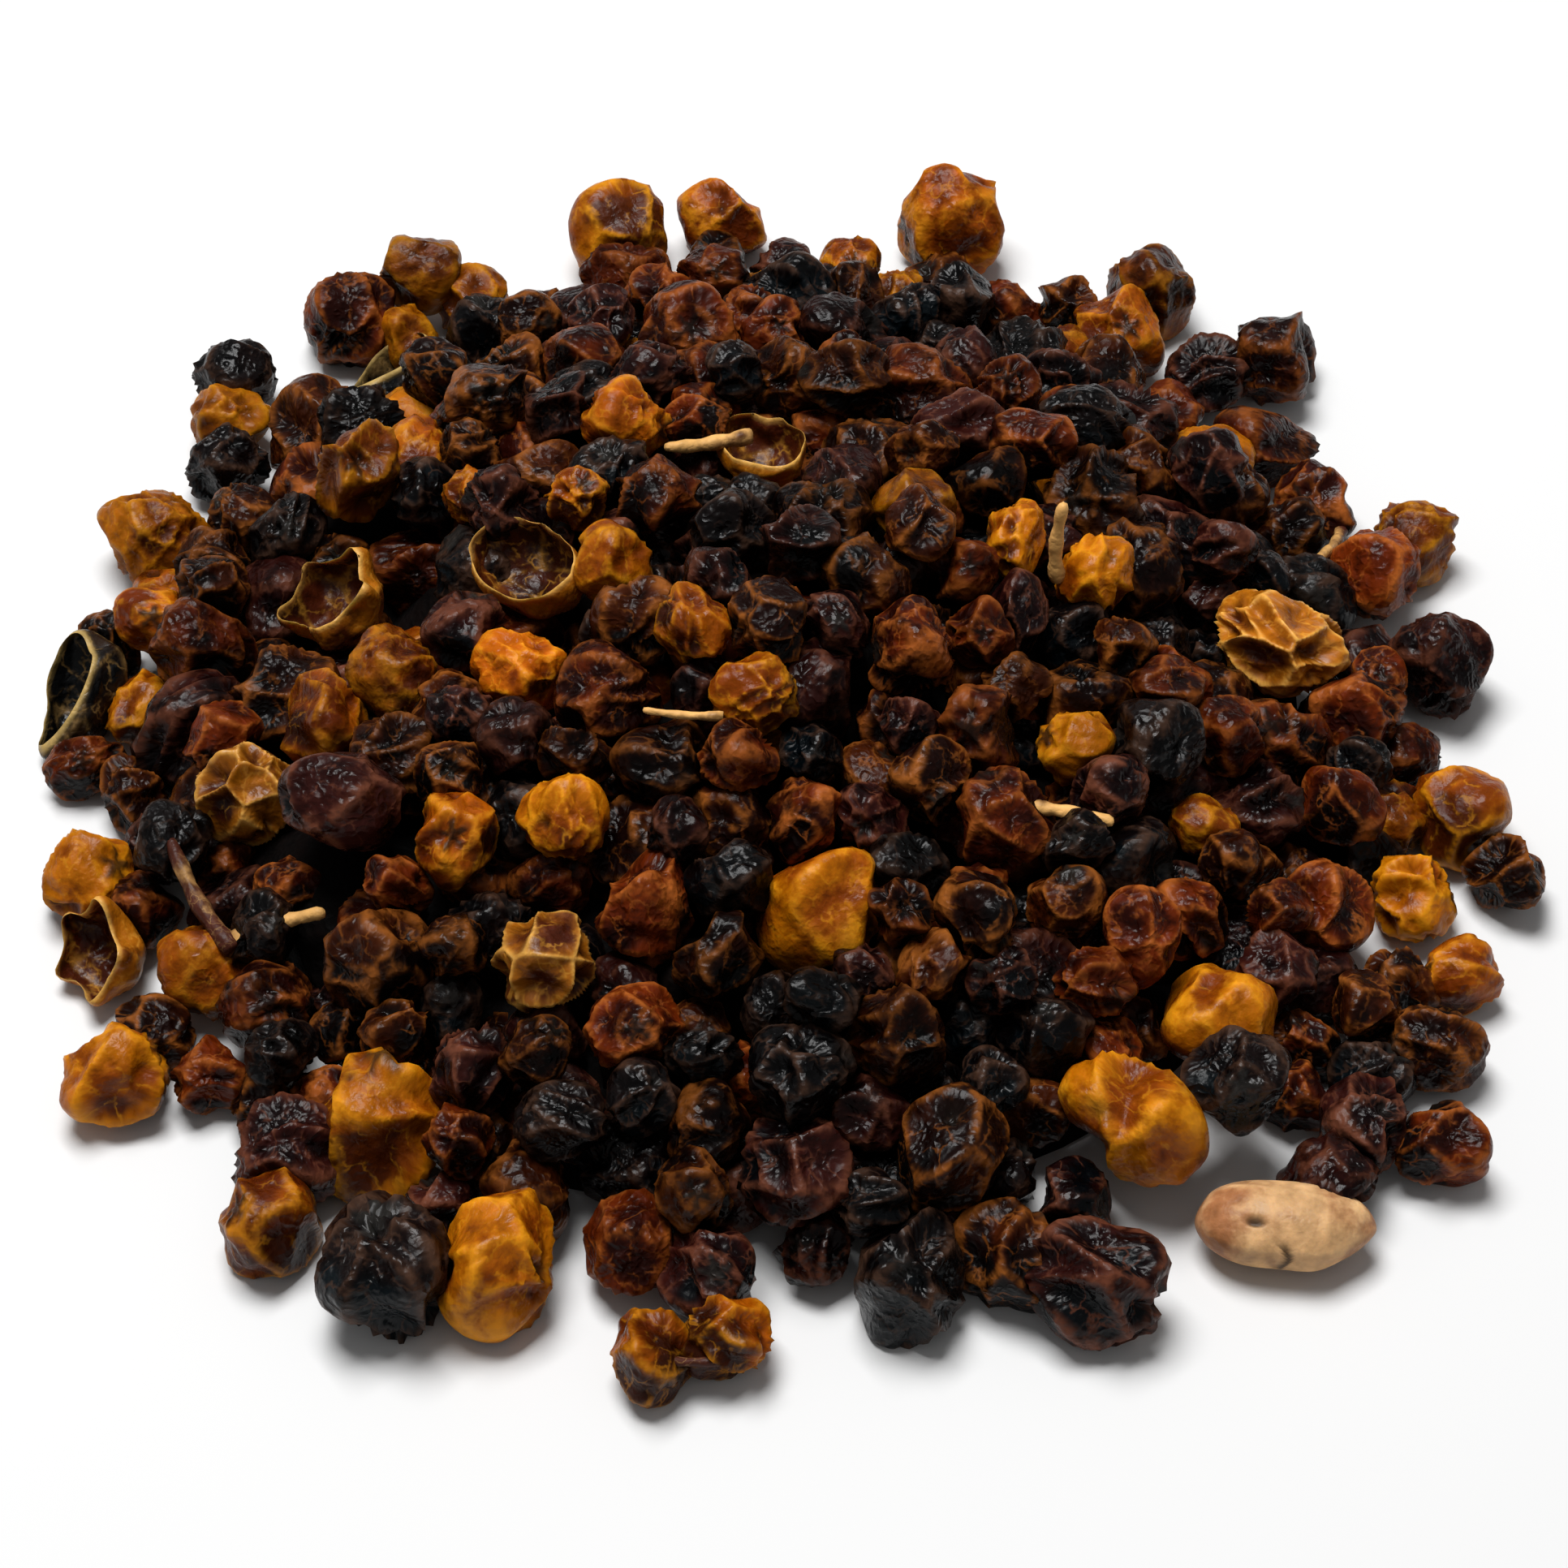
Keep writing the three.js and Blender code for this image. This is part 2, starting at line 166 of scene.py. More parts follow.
def rest_heights(heap, places, radius):
    """Lowest heights at which a ball over these places rests on the surface and on the heap."""
    own = radius * CONTACT_SHARE
    reach = own + heap[:, 3] * CONTACT_SHARE
    apart = (heap[:, 0] - places[:, :1]) ** 2 + (heap[:, 1] - places[:, 1:]) ** 2
    heights = heap[:, 2] + np.sqrt(np.maximum(reach * reach - apart, 0))
    return np.where(apart < reach * reach, heights, own).max(axis=1, initial=own)


def height_over(heap, x, y, radius):
    return rest_heights(heap, np.array([[x, y]]), radius)[0]


def angles_round(count):
    return 2 * np.pi * np.arange(count) / count


def compass(ways, step):
    angles = angles_round(ways)
    return step * np.column_stack([np.cos(angles), np.sin(angles)])


def settle(heap, x, y, radius):
    spot = np.array([x, y, height_over(heap, x, y, radius), radius])
    step = radius * FIRST_STEP
    while step > LAST_STEP:
        places = spot[:2] + compass(ROLL_WAYS, step)
        lower = spot
        for place, height in zip(places, rest_heights(heap, places, radius)):
            if height < lower[2] - LEAST_DROP:
                lower = np.array([*place, height, radius])
        if lower is spot:
            step /= 2
        spot = lower
    return spot


def touching(ball, others, nearness):
    apart = np.sqrt(((others[:, :3] - ball[:3]) ** 2).sum(axis=1))
    return apart < (ball[3] + others[:, 3]) * nearness


alone = settle(np.zeros((0, 4)), 0, 0, BERRY_RADIUS)
print("a berry alone comes to rest", alone[2].round(2), "mm up")

# %% [markdown]
# The marked berries keep their places free while the others are poured. They are put in afterwards, from
# the middle outwards. One that would lie alone on the thin edge slides the shortest way to a neighbour,
# because a loose heap still holds together. One berry on the right edge is left leaning high on its
# neighbour, so that one rolls on down.

# %% Pour the heap
SLIDE_STEP = 0.25
LONGEST_SLIDE = 12
SLIDE_WAYS = 12
HOLD_SHARE = 0.8
LEANING_SPOT = (65, -12)
ROLL_START = (63, -14)


def reserved_places():
    marks = []
    for kind, places in MARKS.items():
        for x, y, breadth, *shape in places:
            radius = breadth / 2
            height = max(float(dome_height(x, y)) - radius, radius * CONTACT_SHARE)
            length, heading = shape or (1, 0)
            marks.append({"kind": kind, "ball": np.array([x, y, height, radius]), "length": length,
                          "heading": heading, "away": math.hypot(x, y)})
    return sorted(marks, key=lambda mark: mark["away"])


def pour(marks):
    reserved = np.array([mark["ball"] for mark in marks])
    random = dice(POUR_SEED)
    heap = np.zeros((0, 4))
    for _ in range(POURED):
        angle = 2 * math.pi * next(random)
        out = math.sqrt(next(random))
        size = SMALLEST_BERRY + (LARGEST_BERRY - SMALLEST_BERRY) * next(random) ** SIZE_POWER
        radius = BERRY_RADIUS * size
        chance = next(random)
        start = (float(rim_radius(angle)) - radius) * out
        spot = settle(heap, start * math.cos(angle), start * math.sin(angle), radius)
        inside = rim_distance(spot[0], spot[1])
        ceiling = max(float(dome_height(spot[0], spot[1])), 2 * radius) + PROUD
        stays = inside > EDGE_WIDTH or (inside > radius and chance < EDGE_SHARE)
        if stays and spot[2] + radius < ceiling and not touching(spot, reserved, CONTACT_SHARE).any():
            heap = np.vstack([heap, spot])
    return heap


def put_in(heap, mark):
    x, y, _, radius = mark["ball"]
    ball = np.array([x, y, height_over(heap, x, y, radius), radius])
    further = heap[np.hypot(heap[:, 0], heap[:, 1]) < mark["away"]]
    if rim_distance(x, y) > EDGE_WIDTH + radius or touching(ball, further, HOLD_SHARE).any():
        return ball
    for slid in np.arange(SLIDE_STEP, LONGEST_SLIDE, SLIDE_STEP):
        for slide in compass(SLIDE_WAYS, slid):
            moved = ball + [*slide, 0, 0]
            if touching(moved, further, HOLD_SHARE).any():
                return moved
    return ball


def poured_heap():
    marks = reserved_places()
    heap = pour(marks)
    for mark in marks:
        heap = np.vstack([heap, put_in(heap, mark)])
    return heap, marks


BALLS, MARKED = poured_heap()
LOOSE_COUNT = len(BALLS) - len(MARKED)
LOW = (BALLS[:, :2] - BALLS[:, 3:]).min(axis=0)
HIGH = (BALLS[:, :2] + BALLS[:, 3:]).max(axis=0)
MIDDLE = (LOW + HIGH) / 2
LEANING = np.hypot(*(BALLS[:, :2] - LEANING_SPOT).T).argmin()
BALLS[LEANING] = settle(np.delete(BALLS, LEANING, axis=0), *ROLL_START, BALLS[LEANING, 3])
print(len(BALLS), "berries, middle of the heap at", MIDDLE.round(2), "mm")

# %% [markdown]
# Keeping places free leaves small pits around the marked berries. In a real heap little berries roll into
# such pits. So many small ones are dropped, and only the few that stay under the dome are kept. They stay
# out of the open skins, and lie lower where they would cover a stalk or a golden berry.

# %% Fill the pits
FILL_SEED = 887
FILL_DROPS = 1800
SMALLEST_FILL = 2.7
LARGEST_FILL = 3.9
FILL_INSET = 8
CLEAR_SPOTS = np.array([(-5, 22), (-36, -27), (23, -47), (24, -17), (25.5, 9), (3, -35)])
CLEAR_WIDTH = 4.5
CLEAR_DEPTH = 3.5


def fill_pits(heap, marks):
    random = np.random.default_rng(FILL_SEED)
    open_skins = np.array([ball for ball, mark in zip(heap[-len(marks):], marks) if mark["kind"] == "split"])
    for _ in range(FILL_DROPS):
        angle = random.uniform(0, 2 * np.pi)
        out = math.sqrt(random.uniform()) * (float(rim_radius(angle)) - FILL_INSET)
        radius = random.uniform(SMALLEST_FILL, LARGEST_FILL)
        spot = settle(heap, out * math.cos(angle), out * math.sin(angle), radius)
        covers = (np.hypot(*(CLEAR_SPOTS - spot[:2]).T) < CLEAR_WIDTH).any()
        ceiling = dome_height(spot[0], spot[1]) - covers * CLEAR_DEPTH
        low = spot[2] + radius < ceiling and rim_distance(spot[0], spot[1]) > FILL_INSET
        if low and not touching(spot, open_skins, 1).any():
            heap = np.vstack([heap, spot])
    return heap


BALLS = fill_pits(BALLS, MARKED)
print(len(BALLS) - LOOSE_COUNT - len(MARKED), "small berries fill the pits")

# %% [markdown]
# ## Which berries show
# A berry deep in the heap is never seen, so it needs no wrinkles. From each berry rays go out in all
# directions but steeply down, and the share that leaves the heap says how much of the berry shows. The
# more shows, the finer its mesh may be, and the ones that don't show are left as coarse dark balls.

# %% How much of each berry shows
GOLDEN_ANGLE = math.pi * (3 - math.sqrt(5))
VIEW_RAYS = 64
LOWEST_RAY = -0.2
LEAST_SHARE = 0.02


def unit(vectors):
    return vectors / np.linalg.norm(vectors, axis=-1, keepdims=True)


def spread_directions(count, lowest):
    """Directions spread evenly between a lowest rise and straight up."""
    rise = lowest + (1 - lowest) * (np.arange(count) + 0.5) / count
    flat = np.sqrt(1 - rise * rise)
    turn = np.arange(count) * GOLDEN_ANGLE
    return np.column_stack([flat * np.cos(turn), flat * np.sin(turn), rise])


def showing_share(number):
    rays = spread_directions(VIEW_RAYS, LOWEST_RAY)
    others = np.delete(BALLS, number, axis=0)
    starts = BALLS[number, :3] + rays * BALLS[number, 3]
    gaps = others[None, :, :3] - starts[:, None]
    along = (gaps * rays[:, None]).sum(axis=2)
    aside = (gaps * gaps).sum(axis=2) - along * along
    blocked = ((along > 0) & (aside < others[:, 3] ** 2)).any(axis=1)
    return 1 - blocked.mean()


SHOWING = np.array([showing_share(number) for number in range(len(BALLS))])
print((SHOWING > LEAST_SHARE).sum(), "berries show,", (SHOWING <= LEAST_SHARE).sum(), "lie hidden")

# %% [markdown]
# ## The skin of one berry
# A fresh rowan berry is nearly a ball. As it dries the flesh shrinks, and the skin falls into hollows with
# ridges between them. Sculpting hundreds of berries by hand would take days, and a displacement texture
# would leave the mesh round. So each berry is a ball of even triangles whose corners are moved in or out
# by a formula. The formula starts from the same few rounded flats as the solid's berries.

# %% A ball of even triangles
EDGE_LENGTH = 2  # between two corners of the icosahedron
FREQUENCIES = (4, 5, 7, 9, 12, 24)


def ball_mesh(frequency):
    """An icosahedron with each face cut into frequency times frequency triangles."""
    gold = (1 + math.sqrt(5)) / 2
    quarter = [(0, a, b * gold) for a in (-1, 1) for b in (-1, 1)]
    corners = np.array([np.roll(corner, shift) for corner in quarter for shift in range(3)])
    apart = np.linalg.norm(corners[:, None] - corners[None], axis=2)
    near = np.isclose(apart, EDGE_LENGTH)
    faces = []
    for a, b, c in combinations(range(len(corners)), 3):
        if near[a, b] and near[b, c] and near[a, c]:
            outward = np.linalg.det(corners[[a, b, c]]) > 0
            faces.append((a, b, c) if outward else (a, c, b))
    steps = [(i, j) for i in range(frequency + 1) for j in range(frequency + 1 - i)]
    row = {step: k for k, step in enumerate(steps)}
    weights = np.array([(frequency - i - j, i, j) for i, j in steps]) / frequency
    small = [(row[i, j], row[i + 1, j], row[i, j + 1]) for i, j in steps if i + j < frequency]
    small += [(row[i + 1, j], row[i + 1, j + 1], row[i, j + 1]) for i, j in steps if i + j < frequency - 1]
    points = unit(np.vstack([weights @ corners[list(face)] for face in faces]))
    triangles = np.vstack([np.array(small) + k * len(steps) for k in range(len(faces))])
    _, first, where = np.unique(points.round(6), axis=0, return_index=True, return_inverse=True)
    return points[first], where.reshape(-1)[triangles]


BALL_MESHES = {frequency: ball_mesh(frequency) for frequency in FREQUENCIES}
print({frequency: len(mesh[1]) for frequency, mesh in BALL_MESHES.items()}, "triangles")

# %% The flats that the solid's berries have
SHAPE_SEED = 7919
FACETS = 14
FACET_JITTER = 0.45
FACET_SOFTNESS = 5.5
NEAREST_FACET = 0.84
STRETCH = 0.14


def solid_form(number):
    """The flats, the stretch and the turn of the solid's berry with this number."""
    random = dice(SHAPE_SEED * (number + 1))

    def between(spread):
        return spread * (2 * next(random) - 1)

    turn = Euler([2 * math.pi * next(random) for _ in range(3)], "ZYX")
    stretch = np.array([1 + between(STRETCH) for _ in range(3)])
    flats = []
    for direction in spread_directions(FACETS, -1):
        nudged = unit(direction + [between(FACET_JITTER) for _ in range(3)])
        flats.append(nudged / (NEAREST_FACET + (1 - NEAREST_FACET) * next(random)))
    return np.array(flats), stretch, np.array(turn.to_matrix())


def flat_reach(directions, flats):
    pushes = np.maximum(directions @ flats.T, 0) ** FACET_SOFTNESS
    return pushes.sum(axis=1) ** (-1 / FACET_SOFTNESS)


print("the first berry is stretched by", solid_form(0)[1].round(2))

# %% [markdown]
# Over the flats come the wrinkles. Points spread over the ball own the skin around them, like the cells of
# a honeycomb. Inside a cell the skin sinks, and on the border between two cells it stands as a ridge.
# Large cells make the hollows and small ones the fine creases. The directions are bent a little before
# the cells are looked up, because real ridges never run straight.

# %% Hollows, ridges and ripples
CELL_JITTER = 0.5
SHALLOWEST_CELL = 0.3
WAVES = 7
WAVE_PITCHES = (0.7, 1.3)


def ripples(directions, random, pitch):
    """A smooth uneven value for each direction, mostly between -1 and 1. A higher pitch gives finer waves."""
    total = np.zeros(len(directions))
    for _ in range(WAVES):
        heading = unit(random.normal(size=3)) * pitch * random.uniform(*WAVE_PITCHES)
        total += np.sin(directions @ heading + random.uniform(0, 2 * np.pi))
    return total / math.sqrt(WAVES)


def uneven(directions, random, pitch, size):
    return size * ripples(directions, random, pitch)


def bent(directions, random, pitch, amount):
    bends = np.column_stack([ripples(directions, random, pitch) for _ in range(3)])
    return unit(directions + amount * bends)


def cells(directions, random, count):
    """How near each direction is to a border of its cell, from 0 to 1, and how deep that cell sinks."""
    centres = unit(spread_directions(count, -1) + random.uniform(-1, 1, (count, 3)) * CELL_JITTER)
    depths = random.uniform(SHALLOWEST_CELL, 1, count)
    angles = np.arccos(np.clip(directions @ centres.T, -1, 1))
    order = np.argpartition(angles, 1, axis=1)[:, :2]
    first, second = np.take_along_axis(angles, order, axis=1).T
    return 2 * first / (first + second), depths[order[:, 0]]


def smooth(low, high, values):
    share = np.clip((values - low) / (high - low), 0, 1)
    return share * share * (3 - 2 * share)


sample = ripples(BALL_MESHES[FREQUENCIES[-1]][0], np.random.default_rng(SHAPE_SEED), 1)
print("the ripples run from", sample.min().round(2), "to", sample.max().round(2))

# %% [markdown]
# A berry has two ends. At one the stem came off and left a small round pit. At the other sits the dry
# flower, a dark star of five teeth in a ring. Both lie on one line through the berry.

# %% The two ends of a berry
UPRIGHT = np.array([0, 0, 1])
SIDEWAYS = (0.36, 0.48, 0.8)
STAR_TEETH = 5
TEETH_MIDDLE = 0.24
TEETH_LENGTH = 0.13
TEETH_EDGE = (0.1, -0.05)
STAR_HEIGHT = 0.07
PIT_DARKNESS = 0.8
# Angle from the end and width in radians, and the height as a share of the radius
FLOWER_RING = (0.5, 0.13, 0.05)
FLOWER_DIMPLE = (0, 0.42, -0.12)
STEM_LIP = (0.32, 0.1, 0.03)
STEM_PIT = (0, 0.2, -0.12)


def hill(distance, width, power=2):
    return np.exp(-(distance / width) ** power)


def berry_ends(directions, random, axis):
    """Height, darkness and paleness that the two ends add to the skin."""
    from_flower = np.arccos(np.clip(directions @ axis, -1, 1))
    from_stem = np.pi - from_flower
    aside = unit(np.cross(axis, SIDEWAYS))
    around = np.arctan2(directions @ np.cross(axis, aside), directions @ aside) + random.uniform(0, 2 * np.pi)
    teeth = TEETH_MIDDLE + TEETH_LENGTH * np.cos(STAR_TEETH * around)
    star = smooth(*TEETH_EDGE, from_flower - teeth)
    ring, dimple = [hill(from_flower - angle, width) for angle, width, _ in (FLOWER_RING, FLOWER_DIMPLE)]
    lip, pit = [hill(from_stem - angle, width) for angle, width, _ in (STEM_LIP, STEM_PIT)]
    height = FLOWER_RING[2] * ring + FLOWER_DIMPLE[2] * dimple + STAR_HEIGHT * star
    height += STEM_LIP[2] * lip + STEM_PIT[2] * pit
    return height, np.maximum(star, PIT_DARKNESS * pit), ring


sample = berry_ends(BALL_MESHES[FREQUENCIES[-1]][0], np.random.default_rng(SHAPE_SEED), UPRIGHT)[0]
print("the ends change the radius by", sample.min().round(2), "to", sample.max().round(2), "of it")

# %% What a finish reads from a skin
ATTRIBUTES = ("ridge", "hollow", "scar", "tone", "warmth", "bruise")
PLACE_SPREAD = 500


def somewhere(random):
    """A far shift for the noise, so that no two skins have the same blotches."""
    return random.uniform(-PLACE_SPREAD, PLACE_SPREAD, 3)


def closed_skin(points, triangles, place, **marks):
    """A closed skin that lies flat where it meets the surface. A mark that isn't given is 0 all over."""
    points[:, 2] = np.maximum(points[:, 2], 0)
    even = np.ones(len(points))
    values = {name: even * marks.get(name, 0) for name in ATTRIBUTES}
    return {"points": points, "triangles": triangles, "place": place, **values}


print("a finish reads the place of each point and its", ", ".join(ATTRIBUTES))

# %% [markdown]
# Now the whole berry. Its flats, hollows and creases multiply into one reach for each direction. The few
# corners that would stick out like spikes are pressed in. A berry is painted darker towards one side,
# mostly the lower one: a painted shade, added to its bruise value. A slim berry is squeezed along one line.

# %% One whole berry
SKIN_SEED = 40961
SKIN_SWELL = 1.17
CORNER_REACH = 1.12
CORNER_LOSS = 0.65
BEND_PITCH = 3
FINE_BEND_PITCH = 7
FINE_BEND = 1 / 3
UNEVEN = (9, 0.02)
RIDGE_SHARPNESS = 6
RING_PALENESS = 0.7
SHADED_SIDE = (0.1, -0.5, -0.8)
SHADED_SIDE_SPREAD = 0.5
SHADED_SIDE_LEAN = 0.8
ACROSS_SLIM = unit(np.array([0.8, 0.44, 0.41]))
SLIM_SINK = 0.7
FACING = unit(np.array([0.1, -0.6, 0.75]))
WRINKLES = {
    # large cells, their depth, small cells, their depth, bend of the ridges, lengthwise stretch of the cells
    "smooth": (9, 0.28, 36, 0.05, 0.2, 0.9),
    "dented": (7, 0.44, 45, 0.06, 0.3, 0.8),
    "raisin": (13, 0.34, 60, 0.07, 0.26, 0.7),
    "folded": (15, 0.36, 50, 0.06, 0.2, 0.4),
    "lumpy": (20, 0.22, 70, 0.1, 0.24, 0.9),
    "net": (14, 0.42, 30, 0.05, 0.1, 0.85),
    "crumpled": (22, 0.38, 70, 0.12, 0.24, 0.8),
}


def whole_berry(number, look, frequency):
    """One shrunken berry, in millimetres."""
    random = np.random.default_rng([SKIN_SEED, number])
    x, y, z, radius = BALLS[number]
    directions, triangles = BALL_MESHES[frequency]
    flats, stretch, turn = solid_form(number)
    hollows, hollow_depth, creases, crease_depth, bend, squeeze = WRINKLES[look["style"]]
    curved = bent(directions, random, BEND_PITCH, bend)
    squeezed = unit(curved * [1, 1, squeeze])
    edge, sunk = cells(squeezed, random, hollows)
    fine_edge, fine_sunk = cells(bent(squeezed, random, FINE_BEND_PITCH, bend * FINE_BEND), random, creases)
    hollow = sunk * (1 - edge ** 3)
    crease = fine_sunk * (1 - fine_edge ** 2)
    if look["style"] == "lumpy":
        crease = 1 - crease
    height, scar, crown = berry_ends(directions, random, turn.T @ FACING if look["facing"] else UPRIGHT)
    rough = uneven(directions, random, *UNEVEN)
    reach = flat_reach(directions, flats) * SKIN_SWELL
    reach *= 1 - hollow_depth * hollow - crease_depth * crease + height + rough
    reach -= CORNER_LOSS * np.maximum(reach - CORNER_REACH, 0)
    skin = (directions * reach[:, None] * stretch) @ turn.T * radius
    lost = 1 - look.get("slim", 1)
    skin -= np.outer(skin @ ACROSS_SLIM, ACROSS_SLIM) * lost
    # Painted shade: the bruise value grows towards one side, mostly the lower one.
    side = unit(random.normal(size=3) * SHADED_SIDE_SPREAD + SHADED_SIDE)
    return closed_skin(
        skin + [x, y, z - radius * lost * SLIM_SINK], triangles, directions * radius + somewhere(random),
        ridge=np.maximum(edge ** RIDGE_SHARPNESS, RING_PALENESS * crown), hollow=hollow, scar=scar,
        tone=look["tone"], warmth=look["warmth"],
        bruise=look["bruise"] + SHADED_SIDE_LEAN * (directions @ turn.T @ side))


PLAIN_LOOK = {"style": "raisin", "tone": 0.5, "warmth": 0.5, "bruise": 0.5, "facing": False}
print("one berry reaches", whole_berry(0, PLAIN_LOOK, 12)["points"].max(axis=0).round(1), "mm")

# %% [markdown]
# ## What colour each berry is
# The marked berries have their colour from their list. The others get one by a seeded draw. Dark berries
# lie together in a few places, most of all in the front middle, and the rest is a mix with more rust
# and brown than bright ones. Golden berries dry smooth, dark ones dry like raisins.

# %% Colours and wrinkles by draw
KIND_SEED = 5501
KINDS = ("golden", "amber", "rust", "brown", "plum", "black")
MIXED_SHARES = (0.05, 0.07, 0.26, 0.3, 0.22, 0.1)
DARK_SHARES = (0, 0, 0.06, 0.12, 0.38, 0.44)
DARK_PLACES = [
    (8, -50, 19), (0, 12, 11), (41, 12, 9), (20, 45, 9), (-48, 0, 6), (20, -30, 6), (36, -24, 6.5),
]
STYLE_SHARES = {
    "golden": {"smooth": 0.4, "dented": 0.25, "lumpy": 0.2, "raisin": 0.15},
    "amber": {"lumpy": 0.4, "smooth": 0.15, "dented": 0.2, "raisin": 0.25},
    "rust": {"raisin": 0.35, "dented": 0.3, "folded": 0.2, "smooth": 0.15},
    "brown": {"raisin": 0.4, "dented": 0.3, "folded": 0.2, "smooth": 0.1},
    "plum": {"raisin": 0.35, "dented": 0.3, "folded": 0.3, "smooth": 0.05},
    "black": {"raisin": 0.45, "dented": 0.25, "folded": 0.3},
}
FACING_SHARE = 0.08


def drawn_kind(number, random):
    x, y = BALLS[number, :2]
    dark = any(math.hypot(x - px, y - py) < reach for px, py, reach in DARK_PLACES)
    return random.choice(KINDS, p=DARK_SHARES if dark else MIXED_SHARES)


def kinds_and_looks():
    random = np.random.default_rng(KIND_SEED)
    kinds, looks = [], []
    for number in range(len(BALLS)):
        kind = drawn_kind(number, random)
        if LOOSE_COUNT <= number < LOOSE_COUNT + len(MARKED):
            kind = MARKED[number - LOOSE_COUNT]["kind"]
        shares = STYLE_SHARES.get(kind, {"smooth": 1})
        kinds.append(str(kind))
        looks.append({"style": str(random.choice(list(shares), p=list(shares.values()))),
                      "tone": random.uniform(), "warmth": random.uniform(), "bruise": random.uniform(),
                      "facing": random.uniform() < FACING_SHARE})
    return kinds, looks


BERRY_KINDS, BERRY_LOOKS = kinds_and_looks()
print({kind: BERRY_KINDS.count(kind) for kind in KINDS})

# %% [markdown]
# A draw would give the brightest berries any look, and the eye would notice. So they have their own. Three
# of them turn their dry flower to the front, and one golden berry has dried long and slim.

# %% Looks of single berries
OWN_LOOKS = {
    # wrinkles: places, each with its lightness, its lean to the lighter colour and its bruises
    "smooth": {(5, -28): (1, 0.7, 0.4), (37, -35): (0.9, 0.8, 0.1), (-14, 70): (0.9, 0.6, 0.4),
               (-4, 71): (0.9, 0.7, 0), (19, 69): (0.9, 0.7, 0.4), (35, 53): (0.7, 0.5, 0.3),
               (-10, -40): (0.9, 0.7, 0.1), (-7, 45): (0.7, 0.2, 0.3), (-34, -19): (0.7, 0.6, 0.4),
               (56, 20): (1.3, 0.9, 0.1), (31, -30): (1, 0.7, 0.1), (28, -38): (1, 0.8, 0.2)},
    "dented": {(-29, -46): (0.8, 0.6, 0.6), (30, -46): (0.9, 0.5, 0.5), (-53, -39): (0.9, 0.9, 0.1),
               (-9, -29): (0.9, 0.6, 0.3), (47, -22): (1.1, 0.8, 0.1)},
    "lumpy": {(-16, -22): (1, 0.8, 0.1), (22, 10): (1.1, 1, 0.2), (29, 8): (1.1, 1, 0),
              (-20, -4): (1.4, 1, 0), (-12, 26): (0.9, 0.7, 0.3), (-31, 27): (0.8, 0.6, 0.4)},
    "folded": {(-21, -59): (0.9, 0.6, 0.2)},
    "crumpled": {(55, -19): (1, 0.9, 0.2)},
}
FACING_FRONT = [(35, 53), (-10, -40), (-7, 45)]
SLIM_SHARES = {(30, -46): 0.72}


def marked_berries():
    """The number, the place in its list and the mark of each berry that stands out."""
    for number, mark in enumerate(MARKED, LOOSE_COUNT):
        yield number, tuple(int(c) for c in mark["ball"][:2]), mark


for style, looks in OWN_LOOKS.items():
    for number, spot, mark in marked_berries():
        if spot in looks:
            tone, warmth, bruise = looks[spot]
            BERRY_LOOKS[number] = {"style": style, "tone": tone, "warmth": warmth, "bruise": bruise,
                                   "facing": spot in FACING_FRONT, "slim": SLIM_SHARES.get(spot, 1)}
print(sum(len(looks) for looks in OWN_LOOKS.values()), "berries have their own look")

# %% [markdown]
# ## From points to pieces
# All berries of one colour are joined into one mesh, so that the heap has a few pieces and not hundreds.
# What a finish needs to know about a point, such as whether it lies on a ridge, is stored in the mesh as
# an attribute, because an attribute stays with the skin from every side.

# %% Join skins into one piece
def add_object(name, data):
    added = bpy.data.objects.new(name, data)
    bpy.context.scene.collection.objects.link(added)
    return added


def make_piece(name, parts):
    """One mesh of several closed skins, in metres, with the middle of the heap over the origin."""
    starts = np.cumsum([0] + [len(part["points"]) for part in parts])
    points = np.vstack([part["points"] for part in parts])
    triangles = np.vstack([part["triangles"] + start for part, start in zip(parts, starts)])
    mesh = bpy.data.meshes.new(name)
    mesh.from_pydata((points - [*MIDDLE, 0]) * MM, [], triangles)
    for attribute in ATTRIBUTES:
        values = np.concatenate([part[attribute] for part in parts])
        mesh.attributes.new(attribute, "FLOAT", "POINT").data.foreach_set("value", values.astype(np.float32))
    places = np.vstack([part["place"] for part in parts]).astype(np.float32)
    mesh.attributes.new("place", "FLOAT_VECTOR", "POINT").data.foreach_set("vector", places.ravel())
    mesh.shade_smooth()
    print(name, "has", len(parts), "skins and", len(triangles), "triangles")
    return add_object(name, mesh)


FINER_ABOVE = np.array([0, 0.08, 0.22, 0.45])


def frequency_for(number):
    return FREQUENCIES[(SHOWING[number] > FINER_ABOVE).sum()]


def berries_of(kind):
    return [whole_berry(number, BERRY_LOOKS[number], frequency_for(number))
            for number in range(len(BALLS))
            if BERRY_KINDS[number] == kind and SHOWING[number] > LEAST_SHARE]


PIECES = {kind: make_piece(f"{kind}_berries", berries_of(kind)) for kind in KINDS}

# %% [markdown]
# ## Split skins
# A few berries split open, lost their flesh and dried into small cups with a pale, papery edge. A cup
# could be cut from a ball with a Boolean, but the cut would be clean and its edge thick. So it is built
# like a bowl on a potter's wheel: rings of points go up the outside, over the edge and down the inside.
# The edge rises and falls in a few pointed lobes.

# %% One split skin
SPLIT_SEED = 7717
SPLIT_AROUND = 72
SPLIT_OUTSIDE = 30
SPLIT_INSIDE = 22
OPENING_LEAN = (1 / 60, 1 / 60, -0.3)


